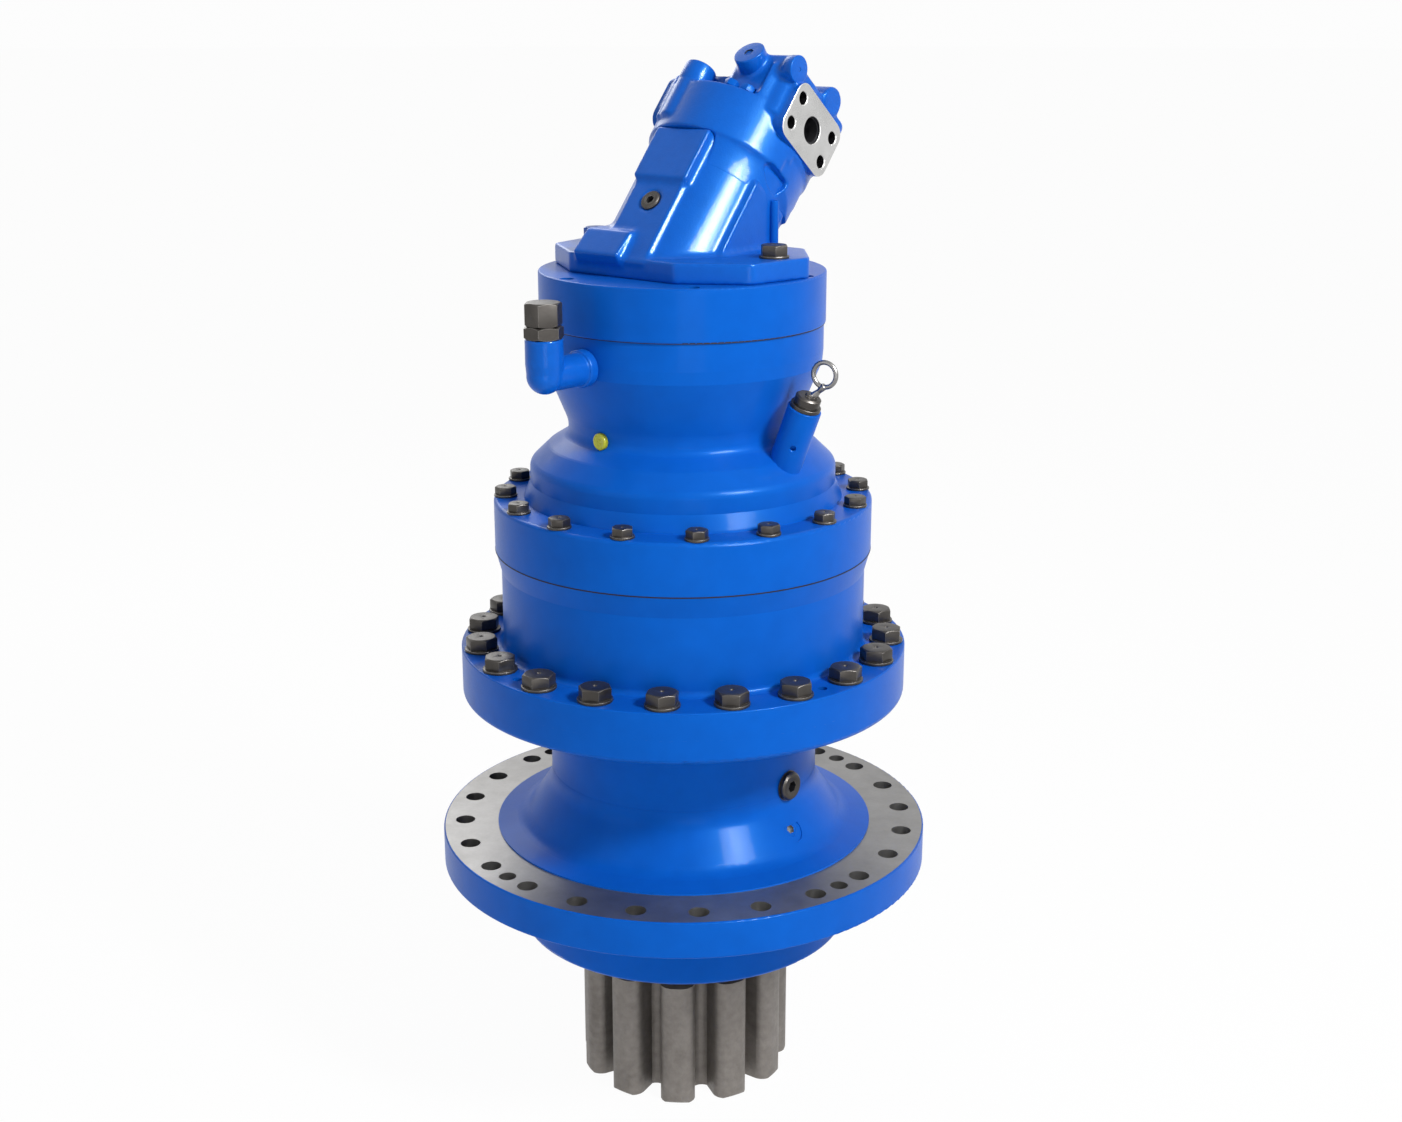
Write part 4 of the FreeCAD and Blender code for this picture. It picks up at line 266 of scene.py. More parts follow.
def rod(name: str, radius: float, low: float, high: float, steps: int = 48,
        pose: Matrix | None = None) -> Piece:
    """A plain round rod between two heights."""
    return turned(name, [(0, low), (radius, low), (radius, high), (0, high)], steps, pose)


def plate(name: str, outline: Sequence[Corner], height: float, pose: Matrix | None = None,
          segments: int = 6) -> Piece:
    """A flat body raised from its outline.

    Args:
        name: the piece's name.
        outline: (x, y) or (x, y, round) for each corner.
        height: how far the outline is raised.
        pose: where the body stands.
        segments: how many pieces each rounded corner has.

    Returns:
        The new piece, its place in its mesh.
    """
    line = rounded(outline, segments)
    piece = drawn(name, [Vector((x, y, 0)) * MM for x, y in line])
    with editing(piece):
        bpy.ops.mesh.edge_face_add()
        bpy.ops.mesh.extrude_region_move(
            TRANSFORM_OT_translate={"value": AXIS_Z * height * MM})
        bpy.ops.mesh.select_all(action="SELECT")
        bpy.ops.mesh.normals_make_consistent(inside=False)
    return placed(piece, pose)


def hexagon(name: str, flats: float, height: float, pose: Matrix | None = None,
            chamfer: float = 0.0) -> Piece:
    """A hexagon prism whose top corners can be turned off, as on a screw head.

    Args:
        name: the piece's name.
        flats: the width across the flats.
        height: the prism's height.
        pose: where its foot stands.
        chamfer: how far the turned cone reaches in past the flats; none without it.

    Returns:
        The new piece, its place in its mesh.
    """
    corner = flats / math.sqrt(3)
    pick()
    bpy.ops.mesh.primitive_cylinder_add(
        vertices=6, radius=corner * MM, depth=height * MM, location=(0, 0, height * MM / 2))
    piece = bpy.context.object
    piece.name = name
    bpy.ops.object.transform_apply(location=True, rotation=True, scale=True)
    if chamfer:
        rise = (corner - flats / 2 + chamfer) * CROWN_SLOPE
        crown = turned("crown", [
            (0, -1), (corner * 1.2, -1), (corner * 1.2, height - rise),
            (corner, height - rise), (flats / 2 - chamfer, height), (0, height)])
        combine(piece, Join.MEET, crown)
    return placed(piece, pose)


def placed(piece: Piece, pose: Matrix | None) -> Piece:
    """Moves a piece to its pose and puts the place into its mesh."""
    if pose is not None:
        piece.data.transform(pose)
    return piece


def apply_modifier(piece: Piece, kind: str, **settings: object) -> None:
    """Adds one modifier, sets it and applies it.

    Args:
        piece: the piece that gets it.
        kind: the modifier's type.
        settings: its properties.
    """
    pick(piece)
    bpy.ops.object.modifier_add(type=kind)
    modifier = piece.modifiers[-1]
    for key, value in settings.items():
        setattr(modifier, key, value)
    bpy.ops.object.modifier_apply(modifier=modifier.name)


def combine(piece: Piece, way: Join, *others: Piece) -> Piece:
    """Cuts, fuses or meets a piece with others.

    Args:
        piece: the piece to work on.
        way: how each of the others acts on it.
        others: the other pieces, which are used up.

    Returns:
        The same piece.
    """
    for other in others:
        apply_modifier(piece, "BOOLEAN", operation=way.value, object=other, solver="EXACT")
        bpy.data.objects.remove(other)
    return piece


def merged(name: str, pieces: Sequence[Piece]) -> Piece:
    """Joins pieces into one object under a new name."""
    pick(*pieces)
    if len(pieces) > 1:
        bpy.ops.object.join()
    pieces[0].name = name
    return pieces[0]


def copies(model: Piece, poses: Sequence[Matrix]) -> list[Piece]:
    """Copies of a modelled piece, each with its own mesh.

    Args:
        model: the piece to copy, which is used up.
        poses: where each copy stands.

    Returns:
        The copies in the order of their poses.
    """
    made = []
    for pose in poses:
        pick(model)
        bpy.ops.object.duplicate()
        made.append(placed(bpy.context.object, pose))
    bpy.data.objects.remove(model)
    return made


def softened(piece: Piece, width: float, segments: int = 2, angle: float = 35.0) -> Piece:
    """Rounds a piece's sharp edges with a bevel."""
    apply_modifier(piece, "BEVEL", width=width * MM, segments=segments, limit_method="ANGLE",
                   angle_limit=math.radians(angle), harden_normals=False, use_clamp_overlap=True)
    return piece


def smooth(piece: Piece, angle: float = 32.0) -> Piece:
    """Shades a piece smooth across shallow edges."""
    pick(piece)
    bpy.ops.object.shade_smooth_by_angle(angle=math.radians(angle))
    return piece


def as_cast(piece: Piece, voxel: float, passes: int) -> Piece:
    """Turns overlapping closed shells into one skin with the soft corners of a casting."""
    apply_modifier(piece, "REMESH", mode="VOXEL", voxel_size=voxel * MM, adaptivity=0.0)
    apply_modifier(piece, "SMOOTH", factor=0.5, iterations=passes)
    return piece


def filleted(piece: Piece, voxel: float, reach: float, passes: int, share: float) -> Piece:
    """Makes one cast skin of overlapping shells and fills its inner corners with fillets.

    Args:
        piece: the shells.
        voxel: the skin's grain.
        reach: the fillets' radius; the skin grows by it and shrinks back.
        passes: how often the last skin is smoothed.
        share: how many of the skin's triangles stay.

    Returns:
        The same piece.
    """
    as_cast(piece, voxel, 2)
    for step in (reach, -reach):
        apply_modifier(piece, "DISPLACE", strength=step * MM, mid_level=0.0)
        as_cast(piece, voxel, 1)
    apply_modifier(piece, "SMOOTH", factor=0.5, iterations=passes)
    apply_modifier(piece, "DECIMATE", ratio=share)
    return piece


def cad_copy(node: Piece, name: str) -> Piece:
    """A merged copy of a CAD node's mesh, to be worked on."""
    pick(node)
    bpy.ops.object.duplicate()
    piece = bpy.context.object
    piece.name = name
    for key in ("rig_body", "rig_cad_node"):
        if key in piece:
            del piece[key]
    piece.parent = None
    piece.data.materials.clear()
    with editing(piece):
        bpy.ops.mesh.customdata_custom_splitnormals_clear()
        bpy.ops.mesh.remove_doubles(threshold=MM / 50)
    return piece


def coat(piece: Piece, finish: Material, *others: tuple[Material, FaceTest]) -> Piece:
    """Gives a piece its finish, and other finishes to the faces that pass a test.

    Args:
        piece: the piece to coat.
        finish: the finish of all faces that no test takes.
        others: (material, test) pairs; a test gets a face's centre in millimetres and its normal.

    Returns:
        The same piece.
    """
    piece.data.materials.clear()
    for material in (finish, *(material for material, _ in others)):
        piece.data.materials.append(material)
    for face in piece.data.polygons:
        face.material_index = 0
        for index, (_, test) in enumerate(others, start=1):
            if test(face.center / MM, face.normal):
                face.material_index = index
    return piece


def settle(piece: Piece, body: Body, slot: Slot, *nodes: str) -> Piece:
    """Puts a finished piece on its body and reports it.

    Args:
        piece: the finished piece.
        body: the body that it rides on.
        slot: its material slot; not used.
        nodes: the CAD nodes that it stands for.

    Returns:
        The same piece.
    """
    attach(piece, body.value)
    if nodes:
        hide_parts(*nodes)
    log.info("%s rides on %s: %d faces", piece.name, body.value, len(piece.data.polygons))
    return piece


# Shader groups and finishes


class Graph:
    """A node tree with short calls to add and link nodes."""

    def __init__(self, tree: bpy.types.NodeTree) -> None:
        """Keeps the tree."""
        self.tree = tree

    def add(self, kind: str, inputs: dict[str | int, object] | None = None,
            **settings: object) -> bpy.types.Node:
        """Adds a node.

        Args:
            kind: the node's type, without the words ShaderNode.
            inputs: a socket or a plain value for each input that is named or numbered.
            settings: the node's properties, which are set first.

        Returns:
            The new node.
        """
        node = self.tree.nodes.new("ShaderNode" + kind)
        for key, value in settings.items():
            setattr(node, key, value)
        for key, value in (inputs or {}).items():
            self.feed(value, node.inputs[key])
        return node

    def feed(self, value: object, target: Socket) -> None:
        """Links a socket to an input, or sets the input to a plain value."""
        if isinstance(value, Socket):
            self.tree.links.new(value, target)
        else:
            target.default_value = value

    def math(self, operation: str, *values: object) -> Socket:
        """A math node on sockets or numbers."""
        return self.add("Math", dict(enumerate(values)), operation=operation).outputs[0]

    def noise(self, vector: Socket, scale: object, detail: float = 2.0,
              roughness: float = 0.5) -> Socket:
        """A noise pattern from 0 to 1 on a vector."""
        return self.add("TexNoise", {"Detail": detail, "Roughness": roughness, "Vector": vector,
                                     "Scale": scale}).outputs["Fac"]


def new_group(name: str, inputs: dict[str, float], outputs: Sequence[str]) -> tuple[
        bpy.types.NodeTree, Graph, bpy.types.Node, bpy.types.Node]:
    """An empty shader group with named float sockets.

    Args:
        name: the group's name.
        inputs: each input's name and its default.
        outputs: the outputs' names.

    Returns:
        The group, its graph, and its input and output nodes.
    """
    tree = bpy.data.node_groups.new(name, "ShaderNodeTree")
    for key, value in inputs.items():
        socket = tree.interface.new_socket(key, in_out="INPUT", socket_type="NodeSocketFloat")
        socket.default_value = value
    for key in outputs:
        tree.interface.new_socket(key, in_out="OUTPUT", socket_type="NodeSocketFloat")
    graph = Graph(tree)
    entry = tree.nodes.new("NodeGroupInput")
    result = tree.nodes.new("NodeGroupOutput")
    return tree, graph, entry, result


def skin_group() -> bpy.types.NodeTree:
    """The skin of paint or metal: fine peel, soft dents and a slow drift of tone."""
    tree, graph, entry, result = new_group(
        "surface_skin", {"Peel": 260.0, "Dents": 40.0, "Dent share": 0.3},
        ("Height", "Tone", "Gloss"))
    place = graph.add("TexCoord").outputs["Object"]
    peel = graph.noise(place, entry.outputs["Peel"], 1.5, 0.45)
    dents = graph.noise(place, entry.outputs["Dents"], 3.0, 0.5)
    drift = graph.noise(place, 9.0, 3.0, 0.6)
    share = graph.math("MULTIPLY", dents, entry.outputs["Dent share"])
    graph.feed(graph.math("ADD", peel, share), result.inputs["Height"])
    graph.feed(graph.math("MULTIPLY_ADD", dents, 0.4, graph.math("MULTIPLY", drift, 0.6)),
               result.inputs["Tone"])
    graph.feed(graph.math("MULTIPLY_ADD", peel, 0.5, graph.math("MULTIPLY", drift, 0.5)),
               result.inputs["Gloss"])
    return tree


def lathe_group() -> bpy.types.NodeTree:
    """The fine rings that a lathe leaves round the Z axis."""
    tree, graph, entry, result = new_group("lathe_rings", {"Rings": 900.0}, ("Height", "Tone"))
    place = graph.add("TexCoord").outputs["Object"]
    parts = graph.add("SeparateXYZ", {0: place})
    squares = [graph.math("POWER", part, 2.0) for part in parts.outputs[:2]]
    radius = graph.math("SQRT", graph.math("ADD", *squares))
    rings = graph.add("TexNoise", {
        "Detail": 2.0, "Scale": 1.0, "W": graph.math("MULTIPLY", radius, entry.outputs["Rings"])},
        noise_dimensions="1D")
    graph.feed(rings.outputs["Fac"], result.inputs["Height"])
    graph.feed(graph.noise(place, 30.0, 4.0, 0.6), result.inputs["Tone"])
    return tree


def edge_group() -> bpy.types.NodeTree:
    """How far a spot is from a flat face: 1 on an edge, where handling rubs a finish bright."""
    tree, graph, entry, result = new_group("edge_rub", {"Reach": 0.0008, "Break": 160.0}, ("Mask",))
    round_edge = graph.add("Bevel", {"Radius": entry.outputs["Reach"]}, samples=4)
    flat = graph.add("NewGeometry").outputs["Normal"]
    compare = graph.add("VectorMath", {0: round_edge.outputs[0], 1: flat}, operation="DOT_PRODUCT")
    bend = graph.math("SUBTRACT", 1.0, compare.outputs["Value"])
    place = graph.add("TexCoord").outputs["Object"]
    patches = graph.noise(place, entry.outputs["Break"], 3.0, 0.6)
    mask = graph.math("MULTIPLY", graph.math("MULTIPLY", bend, 14.0), patches)
    graph.feed(graph.add("Clamp", {0: mask}).outputs[0], result.inputs["Mask"])
    return tree


class Groups:
    """The shader groups that the finishes share, each built once."""

    def __init__(self) -> None:
        """Builds the groups."""
        self.skin = skin_group()
        self.lathe = lathe_group()
        self.edge = edge_group()


# Noise stays near its middle: this is the range that the tones and the gloss are spread over.
DRIFT = (0.3, 0.7)


@dataclass(frozen=True)
class Finish:
    """A surface finish: a base colour that drifts between two tones, a bump and a gloss range."""

    name: str
    dark: Triple
    light: Triple
    metallic: float = 0.0
    rough: Point = (0.3, 0.45)
    peel: float = 260.0
    dents: float = 40.0
    dent_share: float = 0.3
    bump: float = 0.1
    bump_reach: float = 0.0004
    coat: float = 0.0
    coat_roughness: float = 0.08
    specular: float = 0.5
    sheen_tint: Triple = (1.0, 1.0, 1.0)
    rubbed: Triple | None = None
    rings: float = 0.0

    def material(self, groups: Groups) -> Material:
        """Builds the finish's material from the shared groups.

        Args:
            groups: the shader groups.

        Returns:
            A Principled material.
        """
        made = bpy.data.materials.new(self.name)
        made.use_nodes = True
        graph = Graph(made.node_tree)
        shader = made.node_tree.nodes["Principled BSDF"]
        skin = graph.add("Group", {
            "Peel": self.peel, "Dents": self.dents, "Dent share": self.dent_share},
            node_tree=groups.skin)
        height = skin.outputs["Height"]
        if self.rings:
            lathe = graph.add("Group", {"Rings": self.rings}, node_tree=groups.lathe)
            height = lathe.outputs["Height"]
        ramp = graph.add("ValToRGB", {0: skin.outputs["Tone"]})
        low, high = DRIFT
        for stop, position, tone in zip(ramp.color_ramp.elements, DRIFT, (self.dark, self.light)):
            stop.position, stop.color = position, (*tone, 1)
        colour = ramp.outputs[0]
        if self.rubbed:
            edge = graph.add("Group", node_tree=groups.edge)
            colour = graph.add("Mix", {
                "Factor": edge.outputs["Mask"], "A": colour, "B": (*self.rubbed, 1)},
                data_type="RGBA").outputs["Result"]
        spread = graph.add("MapRange", {
            "Value": skin.outputs["Gloss"], "From Min": low, "From Max": high,
            "To Min": self.rough[0], "To Max": self.rough[1]})
        bump = graph.add("Bump", {
            "Strength": self.bump, "Distance": self.bump_reach, "Height": height})
        for key, value in {
                "Base Color": colour, "Metallic": self.metallic,
                "Roughness": spread.outputs["Result"], "Normal": bump.outputs["Normal"],
                "Specular IOR Level": self.specular, "Specular Tint": (*self.sheen_tint, 1),
                "Coat Weight": self.coat, "Coat Roughness": self.coat_roughness}.items():
            graph.feed(value, shader.inputs[key])
        return made


GLOSS_TINT = (0.06, 0.35, 0.8)
BLUE_DARK, BLUE_LIGHT = (0.0026, 0.088, 0.455), (0.0032, 0.106, 0.53)

MACHINED_BLUE = Finish(
    "machined_blue_paint", BLUE_DARK, BLUE_LIGHT, rough=(0.3, 0.4), peel=420.0, bump=0.12,
    bump_reach=0.0003, coat=0.03, coat_roughness=0.1, specular=0.14, sheen_tint=GLOSS_TINT)
CAST_BLUE = Finish(
    "cast_blue_paint", BLUE_DARK, BLUE_LIGHT, rough=(0.28, 0.42), peel=520.0, dents=90.0,
    dent_share=0.9, bump=0.3, bump_reach=0.0005, coat=0.14, coat_roughness=0.1, specular=0.3,
    sheen_tint=GLOSS_TINT)
BLACK_OXIDE = Finish(
    "black_oxide", (0.036, 0.032, 0.029), (0.074, 0.068, 0.062), metallic=0.75, rough=(0.3, 0.46),
    peel=500.0, bump=0.15, bump_reach=0.0002, rubbed=(0.26, 0.25, 0.24))
BARE_RING = Finish(
    "turned_bare_steel", (0.2, 0.196, 0.19), (0.29, 0.285, 0.28), metallic=0.9, rough=(0.3, 0.42),
    rings=1400.0, bump=0.12, bump_reach=0.0002)
MILLED = Finish(
    "milled_steel", (0.44, 0.44, 0.435), (0.6, 0.6, 0.595), metallic=0.95, rough=(0.24, 0.36),
    peel=700.0, bump=0.06, bump_reach=0.0002, rubbed=(0.75, 0.74, 0.72))
# Painted shade: a near-black colour on the insides of bores, threaded holes and sockets, standing
# in for the shade that fills them.
HOLE_SHADE = Finish(
    "painted_hole_shade", (0.018, 0.019, 0.024), (0.05, 0.05, 0.055), metallic=0.6, rough=(0.3, 0.45),
    peel=600.0, bump=0.2, bump_reach=0.0002)
FORGED = Finish(
    "forged_pinion_steel", (0.135, 0.122, 0.11), (0.235, 0.217, 0.2), metallic=0.7,
    rough=(0.42, 0.6), peel=330.0, dents=110.0, dent_share=0.9, bump=0.5, bump_reach=0.0006,
    rubbed=(0.42, 0.4, 0.38))
GROUND = Finish(
    "ground_gear_steel", (0.42, 0.42, 0.43), (0.55, 0.55, 0.56), metallic=1.0, rough=(0.25, 0.35),
    peel=900.0, bump=0.05)
POLISHED = Finish(
    "polished_bearing_steel", (0.62, 0.63, 0.65), (0.72, 0.73, 0.75), metallic=1.0,
    rough=(0.1, 0.16), peel=900.0, bump=0.02)
WIRE = Finish(
    "bright_wire_steel", (0.15, 0.147, 0.145), (0.27, 0.265, 0.26), metallic=1.0,
    rough=(0.2, 0.34), peel=600.0, bump=0.1, bump_reach=0.0002)
BRASS = Finish(
    "cage_brass", (0.55, 0.38, 0.14), (0.68, 0.48, 0.2), metallic=1.0, rough=(0.25, 0.4),
    peel=700.0, bump=0.06)
RUBBER = Finish(
    "seal_rubber", (0.007, 0.007, 0.008), (0.014, 0.014, 0.016), rough=(0.5, 0.65), peel=800.0,
    bump=0.1, bump_reach=0.0002, specular=0.2)
YELLOW = Finish(
    "breather_plastic", (0.4, 0.41, 0.008), (0.5, 0.51, 0.012), rough=(0.28, 0.36), peel=500.0,
    bump=0.05, coat=0.3)
LINING = Finish(
    "friction_lining", (0.05, 0.04, 0.03), (0.11, 0.085, 0.06), rough=(0.8, 0.9), peel=1200.0,
    bump=0.4, bump_reach=0.0003)
SPRING = Finish(
    "spring_steel", (0.16, 0.17, 0.2), (0.24, 0.25, 0.29), metallic=1.0, rough=(0.3, 0.4),
    peel=700.0, bump=0.05)


class Palette:
    """The finishes as Blender materials, each built once."""

    def __init__(self) -> None:
        """Starts with the shared groups and no material."""
        self.groups = Groups()
        self.made: dict[str, Material] = {}

    def __getitem__(self, finish: Finish) -> Material:
        """The material of a finish."""
        if finish.name not in self.made:
            self.made[finish.name] = finish.material(self.groups)
        return self.made[finish.name]


# The CAD nodes that keep their own shape


SLOT_FINISH = {
    Slot.BLUE: MACHINED_BLUE, Slot.BLACK: BLACK_OXIDE, Slot.PINION: FORGED, Slot.GEAR: GROUND,
    Slot.BEARING: POLISHED, Slot.BARE: MILLED, Slot.BRASS: BRASS, Slot.RUBBER: RUBBER,
    Slot.BREATHER: YELLOW, Slot.LINING: LINING, Slot.SPRING: SPRING,
}


@dataclass
class Frame:
    """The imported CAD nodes, dressed where their own shape stays."""

    nodes: dict[str, Piece]
    record: dict
    land_radius: float = 250.7
    flange_radius: float = 323.5
    flange_thickness: float = 48.0

    def dress(self, palette: Palette) -> None:
        """Gives every node the finish of its slot."""
        for row in self.record["subparts"]:
            node = self.nodes[row["node"]]
            finish = SLOT_FINISH[Slot(row["material_slot"])]
            coat(node, palette[finish])
            log.info("%s is dressed as %s", node.name, finish.name)
        coat(self.nodes["output_housing"], palette[MACHINED_BLUE],
             (palette[BARE_RING], self.on_bare_ring))

    def on_bare_ring(self, centre: Vector, normal: Vector) -> bool:
        """Whether a face of the output housing lies on the bare ring or in one of its holes."""
        radius = math.hypot(centre.x, centre.y)
        in_ring = self.land_radius < radius < self.flange_radius - 2
        on_top = centre.z > self.flange_thickness - 1 and normal.z > 0.9
        in_hole = 0 < centre.z < self.flange_thickness and abs(normal.z) < 0.1
        return in_ring and (on_top or in_hole)


@dataclass
class Seams:
    """The fillet at the neck's foot and the dark lines where the housings meet."""

    neck_radius: float = 176.7
    neck_round: float = 38.0
    corner_height: float = 112.0
    cone_radius: float = 192.0
    cone_height: float = 90.0
    fillet_top: float = 127.0
    rings: tuple[Triple, ...] = ((243.75, 430.1, 431.7), (179.7, 721.8, 723.9))
    ring_width: float = 4.0

    def build(self, palette: Palette) -> None:
        """Models the fillet and the lines."""
        radius = self.neck_radius
        fillet = turned("neck_fillet", [
            (radius - 6, self.fillet_top), (radius, self.fillet_top),
            (radius, self.corner_height, self.neck_round), (self.cone_radius, self.cone_height),
            (radius - 6, self.cone_height)], steps=160, segments=12)
        smooth(coat(fillet, palette[MACHINED_BLUE]), 30)
        settle(fillet, Body.HOUSING, Slot.BLUE)
        lines = [turned("line", [
            (outer - self.ring_width, low), (outer, low), (outer, high),
            (outer - self.ring_width, high)], steps=128) for outer, low, high in self.rings]
        seams = smooth(coat(merged("joint_lines", lines), palette[RUBBER]), 30)
        settle(seams, Body.HOUSING, Slot.RUBBER)


# Screws


@dataclass
class ScrewCircle:
    """Hexagon screws with washers on a circle."""

    name: str
    node: str
    pitch: float
    count: int
    first: float
    seat: float
    radius: float
    flats: float
    head: float
    washer_radius: float
    washer: float
    length: float
    turns: tuple[float, ...] = (4, 37, 18, 52, 9, 28, 45, 13, 33, 57, 22, 2, 41, 16, 49, 25)
    painted: tuple[int, ...] = ()

    def model(self) -> Piece:
        """One screw with its washer, standing on the seat at the origin."""
        chamfer = self.flats * 0.02
        head = hexagon("head", self.flats, self.head, chamfer=chamfer)
        dimple = turned("dimple", [
            (0, self.head - self.head * 0.12), (self.radius * 0.14, self.head - self.head * 0.1),
            (self.radius * 0.3, self.head + 1), (0, self.head + 1)], steps=16)
        combine(head, Join.CUT, dimple)
        softened(head, 0.35, segments=2, angle=25)
        head.data.transform(Matrix.Translation(AXIS_Z * self.washer * MM))
        shank = turned("shank", [
            (0, -self.length), (self.radius - 1, -self.length), (self.radius, 1 - self.length),
            (self.radius, self.washer + 1), (0, self.washer + 1)], steps=20)
        edge = self.washer * 0.25
        washer = turned("washer", [
            (self.radius + 0.5, 0), (self.washer_radius, 0, edge),
            (self.washer_radius, self.washer, edge), (self.radius + 0.5, self.washer)],
            steps=32, segments=2)
        return merged("screw", [head, shank, washer])

    def build(self, palette: Palette) -> None:
        """Models one screw, copies it round the circle and settles the circle."""
        poses = []
        for k in range(self.count):
            angle = self.first + 360 * k / self.count
            turn = self.turns[k % len(self.turns)]
            poses.append(upright(polar(self.pitch, angle, self.seat), turn))
        made = copies(self.model(), poses)
        for k, screw in enumerate(made):
            finish = MACHINED_BLUE if k in self.painted else BLACK_OXIDE
            coat(screw, palette[finish])
        circle = smooth(merged(self.name, made), 28)
        settle(circle, Body.HOUSING, Slot.BLACK, self.node)


SCREW_CIRCLES = (
    ScrewCircle("middle_flange_bolts", "middle_flange_screws", pitch=266.5, count=20, first=13.1,
                seat=303, radius=12, flats=36, head=15, washer_radius=22, washer=4, length=62),
    ScrewCircle("upper_flange_bolts", "upper_flange_screws", pitch=228, count=16, first=4.66,
                seat=498, radius=8, flats=24, head=10, washer_radius=15, washer=3, length=90),
    ScrewCircle("motor_bolts", "motor_flange_screws", pitch=145, count=2, first=-40, seat=812,
                radius=10, flats=30, head=13, washer_radius=18.5, washer=3, length=50,
                painted=(1,)),
)


@dataclass
class SocketScrews:
    """Recessed socket screws in the brake cover's top."""

    pitch: float = 168.0
    count: int = 6
    first: float = -85.4
    seat: float = 774.0
    radius: float = 5.0
    head_radius: float = 8.0
    head: float = 10.0
    socket: float = 8.0
    socket_depth: float = 6.0
    length: float = 52.0

    def build(self, palette: Palette) -> None:
        """Models one socket screw and copies it round the cover."""
        body = turned("socket_screw", [
            (0, -self.length), (self.radius, -self.length), (self.radius, 0),
            (self.head_radius, 0, 0.5), (self.head_radius, self.head, 1.0), (0, self.head)],
            steps=32)
        socket = hexagon("socket", self.socket, self.socket_depth + 2,
                         upright(Vector((0, 0, self.head - self.socket_depth))))
        combine(body, Join.CUT, socket)
        poses = [upright(polar(self.pitch, self.first + 360 * k / self.count, self.seat), 17.0 * k)
                 for k in range(self.count)]
        circle = smooth(merged("cover_socket_screws", copies(body, poses)))
        coat(circle, palette[BLACK_OXIDE])
        settle(circle, Body.HOUSING, Slot.BLACK, "brake_cover_screws")


# Fittings


@dataclass
class FillerElbow:
    """The pipe elbow at the left front of the bell, with its lock nut and cap."""

    angle: float = -130.5
    bell_radius: float = 178.0
    height: float = 686.0
    reach: float = 246.0
    depth: float = 12.0
    barrel_radius: float = 22.7
    arm_radius: float = 20.0
    collar_radius: float = 23.0
    collar: float = 13.0
    top: float = 730.0
    bore: float = 13.0
    lock_flats: float = 42.0
    lock_height: float = 15.0
    cap_flats: float = 39.5
    cap_height: float = 28.0

    def build(self, palette: Palette) -> None:
        """Models the elbow, its lock nut and its cap."""
        corner = upright(polar(self.reach, self.angle, self.height), self.angle)
        self.elbow(corner, palette)
        top = along(corner, self.top - self.height)
        self.nut("elbow_lock_nut", "filler_lock_nut", self.lock_flats, self.lock_height, top,
                 palette, bored=True)
        self.nut("elbow_cap", "filler_cap", self.cap_flats, self.cap_height,
                 along(top, self.lock_height), palette, bored=False)

    def elbow(self, corner: Matrix, palette: Palette) -> None:
        """The elbow's barrel, bend, arm and collar, fused and softened as a forging."""
        rise = self.top - self.height
        arm = self.reach - self.bell_radius + self.depth
        barrel = turned("barrel", [
            (0, -2), (self.barrel_radius - 1, -2), (self.barrel_radius - 1, 4),
            (self.barrel_radius, 14, 6), (self.barrel_radius, rise, 1.6), (0, rise)],
            pose=corner, steps=64)
        inward = corner @ Matrix.Rotation(-math.pi / 2, 4, "Y")
        pipe = turned("arm", [
            (0, -3), (self.arm_radius, -3, 1), (self.arm_radius, arm, 1), (0, arm)],
            pose=inward, steps=64)
        outer = arm - self.depth
        collar = turned("collar", [
            (0, outer - self.collar), (self.collar_radius, outer - self.collar, 2),
            (self.collar_radius, outer - 0.5, 1), (0, outer - 0.5)], pose=inward, steps=64)
        pick()
        bpy.ops.mesh.primitive_uv_sphere_add(
            segments=48, ring_count=24, radius=(self.barrel_radius - 0.9) * MM)
        ball = placed(bpy.context.object, corner)
        body = merged("elbow_fitting", [barrel, pipe, collar, ball])
        as_cast(body, 0.8, 5)
        smooth(coat(body, palette[CAST_BLUE]), 60)
        settle(body, Body.HOUSING, Slot.BLUE, "filler_elbow")

    def nut(self, name: str, node: str, flats: float, height: float, pose: Matrix, palette: Palette,
            bored: bool) -> None:
        """A hexagon with both ends turned off, on its flat foot."""
        body = hexagon(name, flats, height, chamfer=0.3)
        foot = turned("foot", [
            (0, 0), (flats / 2 - 0.4, 0), (flats / math.sqrt(3) + 0.5, 2.6),
            (flats / math.sqrt(3) + 0.5, height + 1), (0, height + 1)], steps=48)
        combine(body, Join.MEET, foot)
        if bored:
            combine(body, Join.CUT, rod("hole", self.bore, -1, height + 1))
        softened(body, 0.35, segments=2, angle=25)
        placed(body, pose)
        smooth(coat(body, palette[BLACK_OXIDE]), 28)
        settle(body, Body.HOUSING, Slot.BLACK, node)


